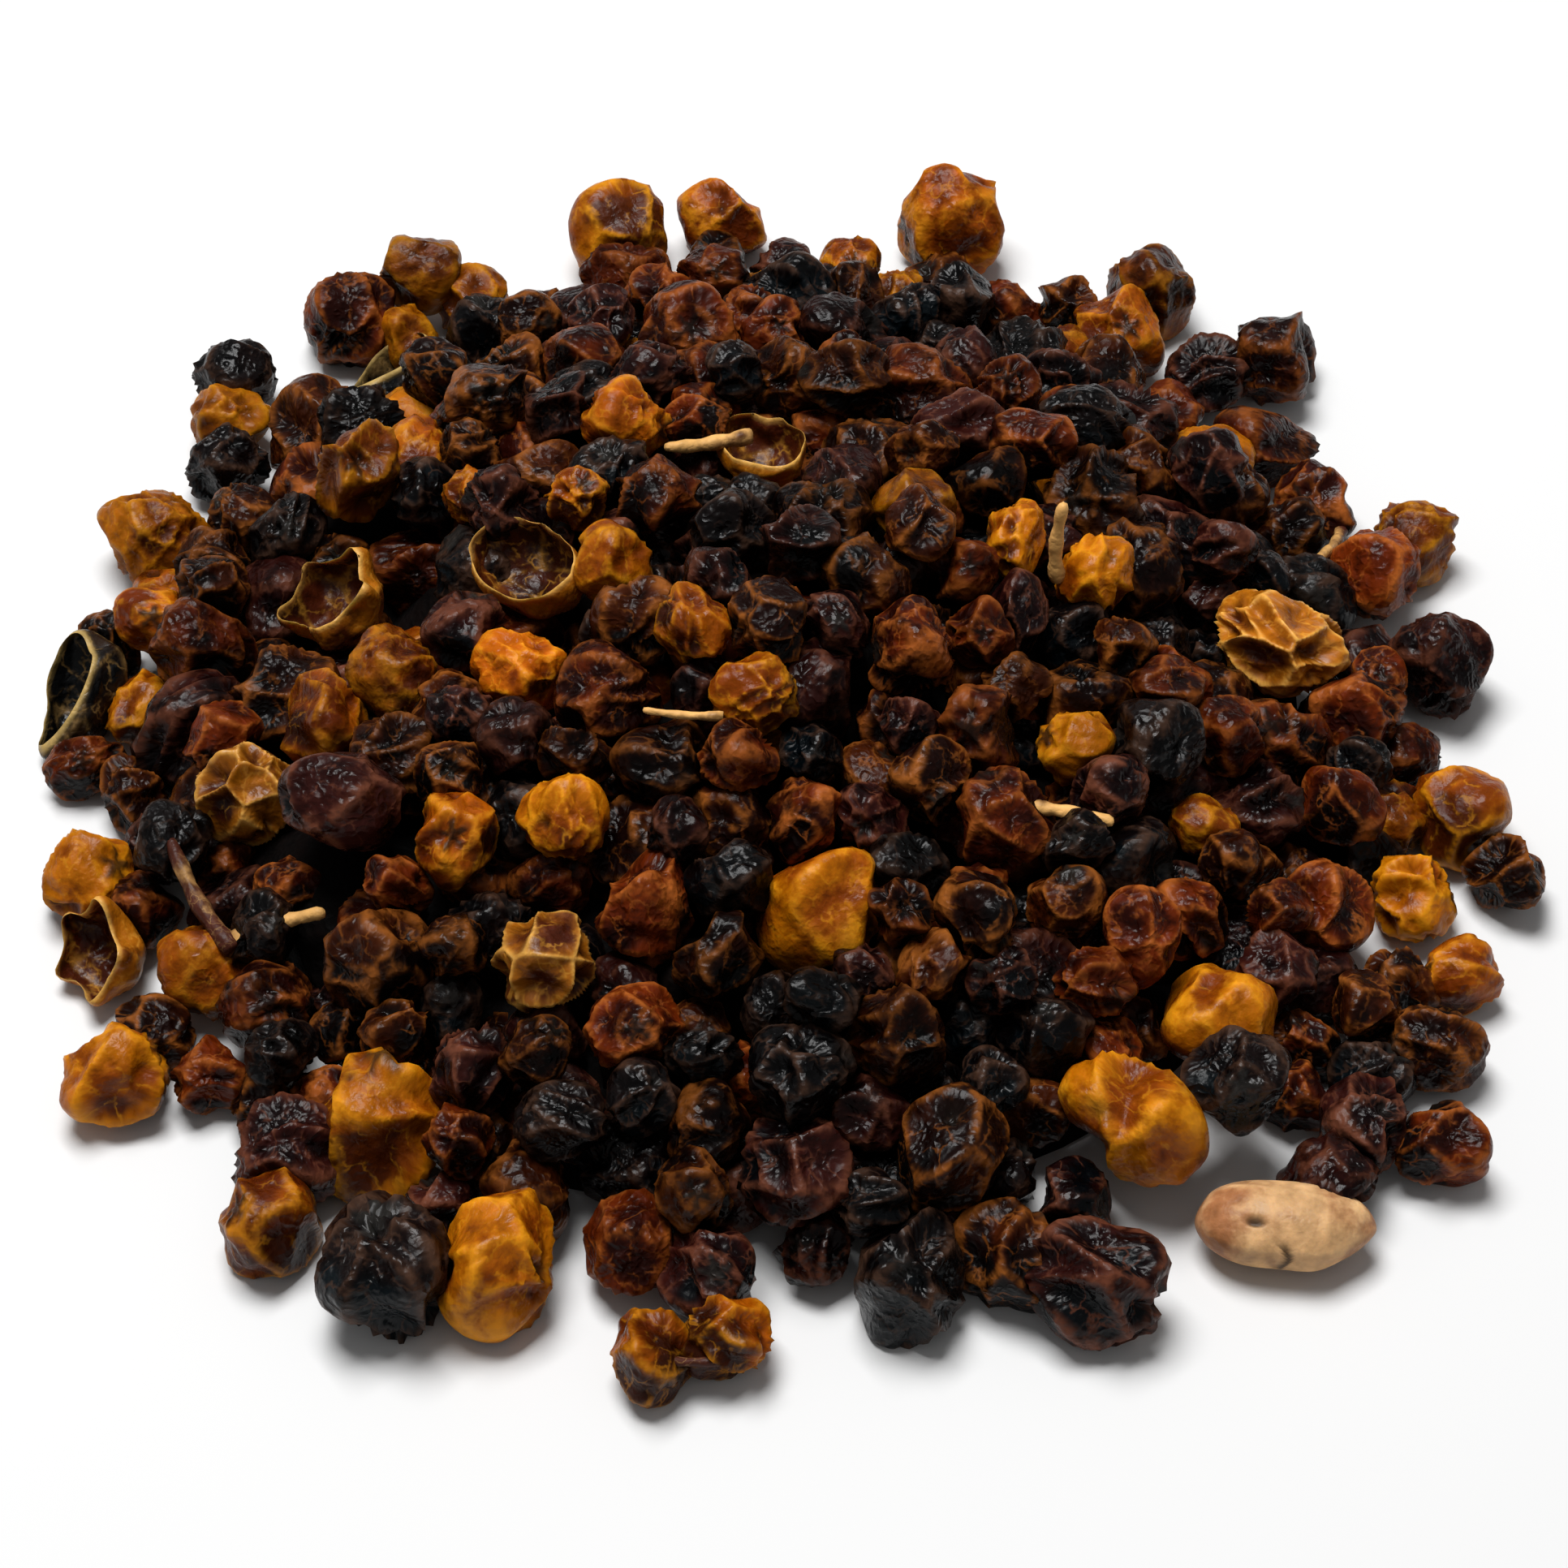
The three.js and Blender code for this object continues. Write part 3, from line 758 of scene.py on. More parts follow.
def ring_triangles(rings, around):
    """Triangles between rings of points, with one more point at each end that closes them."""
    triangles = []
    for k in range(around):
        after = (k + 1) % around
        triangles.append((0, 1 + k, 1 + after))
        for ring in range(rings - 1):
            a, b = 1 + ring * around + k, 1 + ring * around + after
            triangles += [(a, a + around, b + around), (a, b + around, b)]
        last = 1 + (rings - 1) * around
        triangles.append((last + k, last + around, last + after))
    return np.array(triangles)


def opening_turn(x, y, heading):
    lean_x, lean_y, front = OPENING_LEAN
    opening = Vector((x * lean_x, y * lean_y + front, 1))
    tilt = Vector((0, 0, 1)).rotation_difference(opening).to_matrix()
    return np.array(tilt @ Matrix.Rotation(math.radians(heading), 3, "Z"))


# Shares of the radius, but for turns in radians and the pitches and numbers of waves and cells
SPLIT_REACH = 0.98
SPLIT_WALL = 0.055
THINNING = (1.02, 0.85)
LOBE_TURN = 6
LOBE_LEAN = 0.5
LOBE_HEIGHT = 0.1
SIDE_LOBES = 3
SIDE_LOBE_SIZE = 0.3
SPLIT_BEND = (3, 0.2)
SPLIT_FINE_BEND = (6, 0.1)
SPLIT_CREASES = 50
SPLIT_HOLLOW = 0.16
SPLIT_CREASE = 0.05
SPLIT_UNEVEN = (8, 0.03)
FILLED = (0.8, 0.2)
FILLING_UNEVEN = (9, 0.3)
FLARED = (0.45, 1)
SPLIT_RIDGE = 0.7
PALE_EDGE = (0.92, 0.99)
SPLIT_BRUISE = 0.4


def split_skin(number, mark, look):
    """An open cup whose edge runs in and out. The hollow value is 1 inside it, the scar value on its edge."""
    random = np.random.default_rng([SPLIT_SEED, number])
    x, y, z, radius = BALLS[number]
    around = angles_round(SPLIT_AROUND)
    waves = look["lobes"] * around + random.uniform(0, LOBE_TURN)
    lobes = np.cos(waves + LOBE_LEAN * np.sin(waves))
    lobes += SIDE_LOBE_SIZE * np.sin(SIDE_LOBES * around + random.uniform(0, LOBE_TURN))
    outside = np.linspace(0, 1, SPLIT_OUTSIDE)[1:]
    inside = np.linspace(1, 0, SPLIT_INSIDE)[:-1]
    shares = np.concatenate([outside, inside])
    polar = np.pi - shares[:, None] * (np.pi - (look["opening"] - LOBE_HEIGHT * lobes))
    out = np.sin(polar)
    rings = np.stack([out * np.cos(around), out * np.sin(around), np.cos(polar)], axis=2)
    directions = np.vstack([[0, 0, -1], rings.reshape(-1, 3), [0, 0, -1]])
    share = np.concatenate([[0], np.repeat(shares, SPLIT_AROUND), [0]])
    inner = (np.arange(len(share)) > len(outside) * SPLIT_AROUND).astype(float)
    lobe = np.concatenate([[0], np.tile(lobes, len(shares)), [0]])
    edge, sunk = cells(bent(directions, random, *SPLIT_BEND), random, look["hollows"])
    fine_edge, fine_sunk = cells(bent(directions, random, *SPLIT_FINE_BEND), random, SPLIT_CREASES)
    reach = SPLIT_REACH - SPLIT_HOLLOW * sunk * (1 - edge ** 2)
    reach -= SPLIT_CREASE * fine_sunk * (1 - fine_edge ** 2)
    reach += uneven(directions, random, *SPLIT_UNEVEN)
    filling = look["filling"] * smooth(*FILLED, share) * (1 + uneven(directions, random, *FILLING_UNEVEN))
    reach -= inner * (SPLIT_WALL * smooth(*THINNING, share) + filling)
    skin = directions * reach[:, None]
    skin[:, :2] *= 1 + smooth(*FLARED, share)[:, None] * (look["flare"] + look["star"] * lobe[:, None])
    skin[:, 0] *= mark["length"]
    bruise = random.uniform(0, SPLIT_BRUISE)
    # The whole inside of the cup counts as hollow, so the finish paints it darker: partly its own colour,
    # partly painted shade.
    return closed_skin(
        skin @ opening_turn(x, y, mark["heading"]).T * radius + [x, y, z],
        ring_triangles(len(shares), SPLIT_AROUND), skin * radius + somewhere(random),
        ridge=SPLIT_RIDGE * edge ** RIDGE_SHARPNESS, hollow=inner, scar=smooth(*PALE_EDGE, share),
        tone=look["tone"], warmth=look["warmth"] + (look["inside"] - look["warmth"]) * inner, bruise=bruise)


print("one split skin has", len(ring_triangles(SPLIT_OUTSIDE + SPLIT_INSIDE - 2, SPLIT_AROUND)), "triangles")

# %% [markdown]
# The split skins don't look alike. Two are open like a flower with five points, one is a long shell, one
# a cup, and two are black leaves. Three have only fallen in, and pale ridges stand between their hollows.
# Those are whole berries with very deep hollows.

# %% The looks of the split skins
SPLIT_VALUES = ("lobes", "opening", "star", "flare", "hollows", "filling", "tone", "warmth", "inside")
FLOWER = dict(zip(SPLIT_VALUES, (5, 1.05, 0.2, 0.14, 9, 0.3, 0.8, 0.6, 0.1)))
SHELL = dict(zip(SPLIT_VALUES, (2, 1.2, 0.12, 0.05, 8, 0.12, 0.9, 0.8, 0.7)))
CUP = dict(zip(SPLIT_VALUES, (3, 1.15, 0.08, 0.08, 9, 0.15, 0.9, 1, 0.8)))
LEAF = dict(zip(SPLIT_VALUES, (2, 1, 0.25, 0.1, 8, 0.2, 0.6, 0.2, 0)))
SPLIT_LOOKS = {(-37, 10): FLOWER, (-20, 8): SHELL, (0, 24): CUP, (-61, 5): LEAF, (-36, 46): LEAF,
               (-56, -27): FLOWER}
NET = {"style": "net", "tone": 0.65, "warmth": 0.6, "bruise": 0.1, "facing": False}
CRUMPLED = {"style": "crumpled", "tone": 1.2, "warmth": 0.9, "bruise": 0, "facing": False}
FALLEN_LOOKS = {(-43, -12): NET, (-17, -34): NET, (45, 6): CRUMPLED}


def fallen_skin(number, look):
    """A whole berry whose ridges are as pale as the edge of a cup."""
    part = whole_berry(number, look, FREQUENCIES[-1])
    part["scar"] = part["ridge"] ** RIDGE_SHARPNESS
    part["ridge"] = part["ridge"] ** 2
    return part


def split_skins(dark):
    parts = []
    for number, spot, mark in marked_berries():
        look = SPLIT_LOOKS.get(spot)
        if look and (look is LEAF) == dark:
            parts.append(split_skin(number, mark, look))
        if spot in FALLEN_LOOKS and not dark:
            parts.append(fallen_skin(number, FALLEN_LOOKS[spot]))
    return parts


PIECES["split"] = make_piece("split_skins", split_skins(dark=False))
PIECES["leaf"] = make_piece("dark_split_skins", split_skins(dark=True))

# %% [markdown]
# ## The husk
# One pale husk lies on the front edge. It is a hollow shell in reality, but it is shut, so a long ball is
# enough. Its middle is full, and one end is slanted and runs to a blunt point. A small round hole and
# a crack are pressed in and coloured dark.

# %% The pale husk
HUSK_HEIGHT = 0.8
HUSK_FULLNESS = 0.3
HUSK_TAPER = 0.35
HUSK_POINT = 0.1
HUSK_SLANT = 0.3
POINTED = (0.2, 1)
SLANTED = (0.2, 0.9)
HUSK_BEND = (3, 0.2)
HUSK_CELLS = 8
HUSK_RIDGES = 8
LONG_CELLS = (0.4, 1, 1)
HUSK_DENT = 0.05
HUSK_UNEVEN = (9, 0.012)
HUSK_TONE = 0.8
HUSK_WARMTH = 1.2
COOL_ENDS = 1.8
HOLE_SPOT = (-0.35, -0.45, 0.8)
HOLE_WIDTH = 0.12
CRACK_PLACE = 0.02
CRACK_WIDTH = 0.09
CRACK_SWING = 0.08
CRACK_WAVES = 9
CRACK_FRONT = (-0.4, -0.6)
CRACK_FOOT = (-0.35, -0.15)
CRACK_TOP = (0.65, 0.45)
SCAR_DEPTH = 0.3  # in millimetres


def pale_husk(number, mark):
    random = np.random.default_rng([SPLIT_SEED, number])
    x, y, z, radius = BALLS[number]
    directions, triangles = BALL_MESHES[FREQUENCIES[-1]]
    along = directions[:, 0]
    taper = 1 + HUSK_FULLNESS * along ** 2 - HUSK_TAPER * along ** 6
    narrow = taper * (1 - HUSK_POINT * smooth(*POINTED, along))
    edge, sunk = cells(bent(directions, random, *HUSK_BEND) * LONG_CELLS, random, HUSK_CELLS)
    dented = 1 - HUSK_DENT * sunk * (1 - edge ** 2) + uneven(directions, random, *HUSK_UNEVEN)
    shape = directions * np.column_stack([mark["length"] * np.ones_like(along), narrow, narrow * HUSK_HEIGHT])
    shape *= dented[:, None]
    shape[:, 0] += HUSK_SLANT * directions[:, 1] * smooth(*SLANTED, along)
    turn = np.array(Matrix.Rotation(math.radians(mark["heading"]), 3, "Z"))
    winding = CRACK_SWING * np.sin(CRACK_WAVES * shape[:, 2])
    crack = hill(shape[:, 0] - CRACK_PLACE - winding, CRACK_WIDTH, 4)
    crack *= smooth(*CRACK_FRONT, directions[:, 1]) * smooth(*CRACK_FOOT, directions[:, 2])
    crack *= smooth(*CRACK_TOP, directions[:, 2])
    from_hole = np.linalg.norm(directions - unit(np.array(HOLE_SPOT)), axis=1)
    # The hole and the crack are coloured near black: a painted shade for the hollow inside of the husk.
    scar = np.maximum(crack, hill(from_hole, HOLE_WIDTH, 4))
    points = shape @ turn.T * radius + [x, y, z]
    points[:, 2] -= SCAR_DEPTH * scar
    return closed_skin(points, triangles, shape * radius, ridge=edge ** HUSK_RIDGES,
                       hollow=sunk * (1 - edge ** 2), scar=scar, tone=HUSK_TONE,
                       warmth=HUSK_WARMTH - COOL_ENDS * along ** 2)


PIECES["husk"] = make_piece("pale_husk", [
    pale_husk(number, mark) for number, spot, mark in marked_berries() if mark["kind"] == "husk"])

# %% [markdown]
# ## Stalks
# Six dry stalks lie on the heap or stick out of it, and two more are as thin as thread. A curve with a
# bevel would give an even tube, but a real stalk bends a little, gets thinner and has knots, so each is a
# row of rings with its own radii. The palest are straw coloured and the darkest nearly as red as a berry.

# %% Stalks
STALKS = [
    # foot x and y, heading, rise in degrees, length, thickness, paleness
    (25.5, 7, 90, 84, 6, 1.4, 1.2),
    (-43, -28, 122, 12, 10, 1.7, 0),
    (-43, -27, 5, 20, 6, 1.5, 0.6),
    (53, 27, -110, 25, 8, 1.2, 0.4),
    (-1, 25, 200, 8, 6, 1.5, 0.7),
    (22, -20, -18, 4, 5, 1.3, 0.8),
]
THIN_STALKS = [(-3, -14, 180, 6, 4.5, 0.8, 0.9), (-3, -66, 180, 6, 4.5, 0.8, 0)]
STALK_SEED = 313
STALK_RINGS = 18
STALK_AROUND = 12
STALK_TAPER = 0.7
STALK_SINK = 2
STALK_PROBE = 3
KNOT_SIZE = 0.12
KNOT_WAVES = (12, 20)
STALK_BEND = 0.035
BEND_TURNS = (0.8, 1.4)
ROUNDED_END = 0.7
TIP = 0.2
BARK_UNEVEN = 0.06
STALK_TONE = 0.8
PALE_TONE = 0.4
STALK_WARMTH = 1.5
REDDEST = 0.3


def stalk(number, x, y, heading, rise, length, thickness, paleness):
    random = np.random.default_rng([STALK_SEED, number])
    radius = thickness / 2
    foot = height_over(BALLS, x, y, STALK_PROBE) - STALK_PROBE - STALK_SINK
    along = np.linspace(0, 1, STALK_RINGS)
    whole = length + STALK_SINK
    turn = np.array(Euler((0, -math.radians(rise), math.radians(heading)), "XYZ").to_matrix())
    bend = STALK_BEND * whole * np.sin(np.pi * along * random.uniform(*BEND_TURNS))
    thick = radius * (1 + (STALK_TAPER - 1) * along)
    thick *= 1 + KNOT_SIZE * np.sin(along * random.uniform(*KNOT_WAVES))
    thick[-1] *= ROUNDED_END
    around = angles_round(STALK_AROUND)
    rings = np.stack([np.repeat(along * whole, STALK_AROUND).reshape(STALK_RINGS, -1),
                      thick[:, None] * np.cos(around) + bend[:, None],
                      thick[:, None] * np.sin(around)], axis=2)
    rings += random.uniform(-1, 1, rings.shape) * BARK_UNEVEN * radius
    tip = rings[-1].mean(axis=0) + [TIP * radius, 0, 0]
    points = np.vstack([rings[0].mean(axis=0), rings.reshape(-1, 3), tip])
    return closed_skin(points @ turn.T + [x, y, foot], ring_triangles(STALK_RINGS, STALK_AROUND), points,
                       tone=STALK_TONE + PALE_TONE * paleness, warmth=STALK_WARMTH * (paleness - REDDEST))


PIECES["stalk"] = make_piece("stalks", [
    stalk(number, *sizes) for number, sizes in enumerate(STALKS + THIN_STALKS)])

# %% [markdown]
# ## Inside the heap
# Between the berries one looks into dark gaps. The berries deep in the heap are coarse balls there, and a
# low dome under them closes the view to the surface. Both are coloured near black, a painted shade for the
# gaps, and the dome is a dark sheet that stands where there is only shade. The dome stays well inside the
# rim, because near the rim the pale surface shows between the berries.

# %% The dark inside
INSIDE_PROBE = 9
INSIDE_DEPTH = 10
INSIDE_INSET = 18
INSIDE_RINGS = 14
INSIDE_SECTORS = 60
INSIDE_CROWDING = 0.8
INSIDE_RIM_HEIGHT = 0.5


def inner_dome():
    angles = angles_round(INSIDE_SECTORS)
    rings = []
    for share in np.linspace(0, 1, INSIDE_RINGS + 1)[1:] ** INSIDE_CROWDING:
        out = (rim_radius(angles) - INSIDE_INSET) * share
        places = np.column_stack([out * np.cos(angles), out * np.sin(angles)])
        heights = rest_heights(BALLS, places, INSIDE_PROBE) - INSIDE_PROBE * CONTACT_SHARE - INSIDE_DEPTH
        rings.append(np.column_stack([places, np.maximum(heights, INSIDE_RIM_HEIGHT)]))
    top = np.array([[0, 0, rings[0][:, 2].mean()]])
    floor = np.column_stack([rings[-1][:, :2], np.zeros(INSIDE_SECTORS)])
    points = np.vstack([top, *rings, floor, [[0, 0, 0]]])
    return closed_skin(points, ring_triangles(INSIDE_RINGS + 1, INSIDE_SECTORS), points)


hidden_berries = [whole_berry(number, PLAIN_LOOK, FREQUENCIES[0])
                  for number in range(len(BALLS)) if SHOWING[number] <= LEAST_SHARE]
PIECES["inside"] = make_piece("heap_inside", [inner_dome(), *hidden_berries])

# %% [markdown]
# ## Finishes
# A finish is a small network of shader nodes. Written out node by node it would be long and hard to read,
# so two helpers let a finish be written as sums: a value that adds Math nodes when it is added to or
# multiplied, and a finish with one method that makes any other node.

# %% Values and finishes
class Value:
    """One output of a shader node. Sums and products with it add Math nodes."""

    def __init__(self, finish, socket):
        self.finish = finish
        self.socket = socket

    def __add__(self, other):
        return self.finish.math("ADD", self, other)

    def __sub__(self, other):
        return self.finish.math("SUBTRACT", self, other)

    def __rsub__(self, other):
        return self.finish.math("SUBTRACT", other, self)

    def __mul__(self, other):
        return self.finish.math("MULTIPLY", self, other)

    __radd__ = __add__
    __rmul__ = __mul__


class Finish:
    """A material with one Principled shader."""

    def __init__(self, name, constants):
        self.material = bpy.data.materials.new(name)
        self.material.use_nodes = True
        self.tree = self.material.node_tree
        self.shader = self.tree.nodes["Principled BSDF"]
        for socket, value in constants.items():
            self.shader.inputs[socket].default_value = value

    def node(self, kind, settings=None, inputs=None, output=0):
        made = self.tree.nodes.new(kind)
        for setting, value in (settings or {}).items():
            setattr(made, setting, value)
        for socket, value in (inputs or {}).items():
            if isinstance(value, Value):
                self.tree.links.new(value.socket, made.inputs[socket])
            else:
                made.inputs[socket].default_value = value
        return Value(self, made.outputs[output])

    def math(self, operation, *values):
        return self.node("ShaderNodeMath", {"operation": operation}, dict(enumerate(values)))

    def attribute(self, name, output="Fac"):
        return self.node("ShaderNodeAttribute", {"attribute_name": name}, output=output)

    def noise(self, place, scale, detail):
        return self.node("ShaderNodeTexNoise", inputs={
            "Vector": place, "Scale": scale, "Detail": detail, "Roughness": NOISE_ROUGHNESS})

    def step(self, value, low, high):
        """0 below the lower value, 1 above the upper one, and smooth between them."""
        return self.node("ShaderNodeMapRange", {"interpolation_type": "SMOOTHSTEP"}, {
            0: value, 1: low, 2: high})

    def mix(self, first, second, share):
        return self.node("ShaderNodeMix", {"data_type": "RGBA"}, {0: share, 6: first, 7: second}, output=2)

    def brighten(self, colour, amount):
        return self.node("ShaderNodeVectorMath", {"operation": "SCALE"}, {0: colour, "Scale": amount})

    def colour_of(self, noise):
        """The colour output of the same noise node, whose three parts differ from each other."""
        return Value(self, noise.socket.node.outputs["Color"])

    def put(self, socket, value):
        self.tree.links.new(value.socket, self.shader.inputs[socket])


print("helpers ready")

# %% [markdown]
# Dried skin is uneven in several ways. Each berry leans towards one of two colours and changes between them
# over its surface. Bruised places are nearly black. Hollows are painted darker and lean to the deeper and
# the bruised colour: partly the skin's own darker colour and partly painted shade. A net of fine ridges is
# painted paler than the skin between, partly its own paler colour and partly a painted highlight where it
# catches the light, and the dry flower end is dark. The same recipe serves all pieces. The wrinkles too
# fine for the mesh are a bump. A noise makes them, folded where it passes its middle value, because a
# bump reads its height three times and a net of cells takes long to work out.

# %% The finish of dried skin
# Scale and detail of each noise
PATCHES = (0.2, 2)
BLOTCHES = (0.6, 3)
GRAIN = (3, 2)
WRINKLE = (0.9, 1)
NOISE_ROUGHNESS = 0.55
# How much each value makes the skin lean to its lighter colour, bruised, bright and high. The hollow
# weights paint the hollows darker, partly the skin's own colour and partly painted shade, and the bruise
# weight also carries the painted shade on each berry's lower side.
LEAN = {"patches": 1.5, "blotches": 0.6, "warmth": 0.35, "hollow": -0.4}
BRUISE_AND_SHADE_WEIGHTS = {"patches": -1, "blotches": 0.5, "bruise": 0.34, "hollow": 0.22}
BRIGHTNESS = {"tone": 0.6, "blotches": 1.1, "hollow": -0.25}
DIMMED = 0.2
HEIGHT = {"grain": 0.12, "blotches": 0.5}
FOLD_HEIGHT = 1.5
NET_BEND = 2.5
NET_WIDTH = 0.08
NET_PLACES = (0.42, 0.6)
NET_STRENGTH = 0.6
LIGHTER = (0.9, 1.35)
BRUISE_AND_SHADE_RANGE = (0.02, 0.22)
PALE_AND_HIGHLIGHT_RIDGE_RANGE = (0.3, 0.95)
PALE_AND_HIGHLIGHT_RIDGE_PLACES = (0.3, 0.55)
MARK_STRENGTH = 0.9
BUMP_DEPTH = 0.0004
BUMP_STRENGTH = 0.8
UNEVEN_SHINE = (0.35, 0.65)
SHINE_SPREAD = 0.2
GLOW_RADIUS = (1, 0.4, 0.1)
GLOW_DEPTH = 0.001


def dried_skin(name, colours, net_scale, ridge_paleness_and_highlight, roughness, shine, wrinkled, glow):
    finish = Finish(name, {"Specular IOR Level": shine, "Subsurface Weight": glow,
                           "Subsurface Radius": GLOW_RADIUS, "Subsurface Scale": GLOW_DEPTH})
    deeper, lighter, bruise_and_shade_colour, ridges, marks = [(*colour, 1) for colour in colours]
    place = finish.attribute("place", "Vector")
    blotches = finish.noise(place, *BLOTCHES)
    values = {name: finish.attribute(name) for name in ATTRIBUTES}
    values.update(patches=finish.noise(place, *PATCHES), blotches=blotches, grain=finish.noise(place, *GRAIN))

    def weighed(weights):
        return sum(values[name] * weight for name, weight in weights.items())

    moved = finish.node("ShaderNodeVectorMath", {"operation": "ADD"}, {
        0: place, 1: finish.brighten(finish.colour_of(blotches), NET_BEND)})
    net = finish.node("ShaderNodeTexVoronoi", {"feature": "DISTANCE_TO_EDGE"}, {
        "Vector": moved, "Scale": net_scale})
    fine_ridge = (1 - finish.step(net, 0, NET_WIDTH)) * finish.step(blotches, *NET_PLACES)
    # Lean, bruise and brightness darken the hollows: partly the skin's own colour, partly painted shade.
    base = finish.mix(deeper, lighter, finish.step(weighed(LEAN), *LIGHTER))
    # Bruised colour: real bruises, and painted shade in the hollows and on each berry's lower side.
    base = finish.mix(base, bruise_and_shade_colour, finish.step(weighed(BRUISE_AND_SHADE_WEIGHTS), *BRUISE_AND_SHADE_RANGE))
    # Paler ridges and net: partly the skin's own paler colour, partly a painted highlight.
    base = finish.mix(base, ridges, fine_ridge * (ridge_paleness_and_highlight * NET_STRENGTH))
    edges = finish.step(values["ridge"], *PALE_AND_HIGHLIGHT_RIDGE_RANGE)
    base = finish.mix(base, ridges, edges * finish.step(blotches, *PALE_AND_HIGHLIGHT_RIDGE_PLACES) * ridge_paleness_and_highlight)
    base = finish.mix(base, marks, values["scar"] * MARK_STRENGTH)
    finish.put("Base Color", finish.brighten(base, weighed(BRIGHTNESS) - DIMMED))
    fold = finish.math("ABSOLUTE", finish.noise(place, *WRINKLE) * 2 - 1)
    finish.put("Normal", finish.node("ShaderNodeBump", inputs={
        "Height": weighed(HEIGHT) - fold * (wrinkled * FOLD_HEIGHT), "Strength": BUMP_STRENGTH,
        "Distance": BUMP_DEPTH}))
    shine_change = finish.step(blotches, *UNEVEN_SHINE) * SHINE_SPREAD
    finish.put("Roughness", shine_change + (roughness - SHINE_SPREAD / 2))
    return finish.material


print("the bump of the finest wrinkles is", round(BUMP_DEPTH / MM, 1), "mm at most")

# %% [markdown]
# The colours are those of the berries in daylight, as shares of red, green and blue. Golden skin has next
# to no blue in it, and bruised black skin has more blue than red: partly its own cool tint and partly a
# painted cool sheen. Bright skins are thin and let light through, so they alone have a glow from inside.
# The marks are the dark flower ends of berries, the pale edges of split skins, and the hole and crack of
# the husk, whose near black is a painted shade. The inside colours are near black, a painted shade for
# the gaps between the berries.

# %% All finishes
SKIN_COLOURS = {
    # deeper, lighter, bruised (also the painted shade of hollows and lower sides), ridges (paler, partly a
    # painted highlight), marks
    "golden": [(0.22, 0.041, 0.0008), (0.44, 0.125, 0.001), (0.07, 0.012, 0.001), (0.66, 0.27, 0.008),
               (0.03, 0.012, 0.004)],
    "amber": [(0.14, 0.021, 0.0008), (0.37, 0.08, 0.0008), (0.04, 0.007, 0.001), (0.58, 0.22, 0.008),
              (0.02, 0.01, 0.005)],
    "rust": [(0.022, 0.0028, 0.0013), (0.12, 0.0155, 0.0013), (0.004, 0.0013, 0.0012), (0.34, 0.09, 0.014),
             (0.012, 0.008, 0.006)],
    "brown": [(0.008, 0.0016, 0.0009), (0.044, 0.0078, 0.001), (0.002, 0.0013, 0.0013),
              (0.26, 0.078, 0.012), (0.015, 0.012, 0.009)],
    "plum": [(0.005, 0.001, 0.0012), (0.032, 0.0055, 0.0038), (0.001, 0.0017, 0.0025),
             (0.145, 0.045, 0.022), (0.02, 0.017, 0.015)],
    # The bruised black colour is blue: partly its own cool tint, partly a painted cool sheen.
    "black": [(0.001, 0.0008, 0.0011), (0.005, 0.0018, 0.0016), (0.0007, 0.0028, 0.0042),
              (0.075, 0.035, 0.02), (0.02, 0.018, 0.016)],
    "split": [(0.08, 0.014, 0.004), (0.36, 0.11, 0.004), (0.03, 0.006, 0.002), (0.6, 0.27, 0.03),
              (0.74, 0.39, 0.09)],
    "leaf": [(0.003, 0.0035, 0.004), (0.02, 0.009, 0.004), (0.0012, 0.003, 0.004), (0.3, 0.17, 0.05),
             (0.6, 0.4, 0.13)],
    # The husk's marks colour is near black, a painted shade in its hole and crack.
    "husk": [(0.42, 0.17, 0.065), (0.66, 0.38, 0.17), (0.34, 0.14, 0.05), (0.75, 0.5, 0.26),
             (0.012, 0.004, 0.002)],
    "stalk": [(0.06, 0.014, 0.007), (0.64, 0.35, 0.11), (0.03, 0.008, 0.004), (0.6, 0.35, 0.12),
              (0.03, 0.01, 0.005)],
    # Painted shade: the near-black inside of the heap and its hidden berries.
    "inside": [(0.003, 0.0015, 0.0012), (0.005, 0.002, 0.0015), (0.0015, 0.001, 0.001),
               (0.01, 0.005, 0.003), (0.003, 0.002, 0.002)],
}
SKIN_VALUES = {
    # name, slot, scale of the net, paleness of the ridges (partly a painted highlight), roughness, shine,
    # depth of fine wrinkles, glow
    "golden": ("golden_skin", "golden_berry", 0.35, 0.6, 0.36, 0.12, 0.2, 0.2),
    "amber": ("amber_skin", "amber_berry", 0.45, 0.7, 0.34, 0.12, 0.3, 0.2),
    "rust": ("rust_skin", "rust_berry", 0.4, 0.8, 0.33, 0.1, 0.5, 0),
    "brown": ("brown_skin", "brown_berry", 0.4, 0.8, 0.33, 0.1, 0.5, 0),
    "plum": ("plum_skin", "plum_berry", 0.4, 0.8, 0.3, 0.12, 0.5, 0),
    "black": ("black_skin", "black_berry", 0.4, 0.7, 0.32, 0.14, 0.5, 0),
    "split": ("split_skin", "split_skin", 0.4, 0.8, 0.34, 0.16, 0.2, 0.1),
    "leaf": ("dark_split_skin", "split_skin", 0.4, 0.8, 0.34, 0.16, 0.3, 0),
    "husk": ("pale_husk_skin", "seed_husk", 0.3, 0.2, 0.45, 0.2, 0.1, 0.1),
    "stalk": ("stalk_bark", "stalk", 0.9, 0.4, 0.5, 0.15, 0.2, 0),
    "inside": ("inside_skin", "heap_inside", 0.5, 0.3, 0.75, 0.05, 0.3, 0),
}
for kind, piece in PIECES.items():
    name, slot, *values = SKIN_VALUES[kind]
    piece.data.materials.append(dried_skin(name, SKIN_COLOURS[kind], *values))
    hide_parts("berry_heap")
    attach(piece, "root")
print(len(PIECES), "pieces stand for the solid heap")
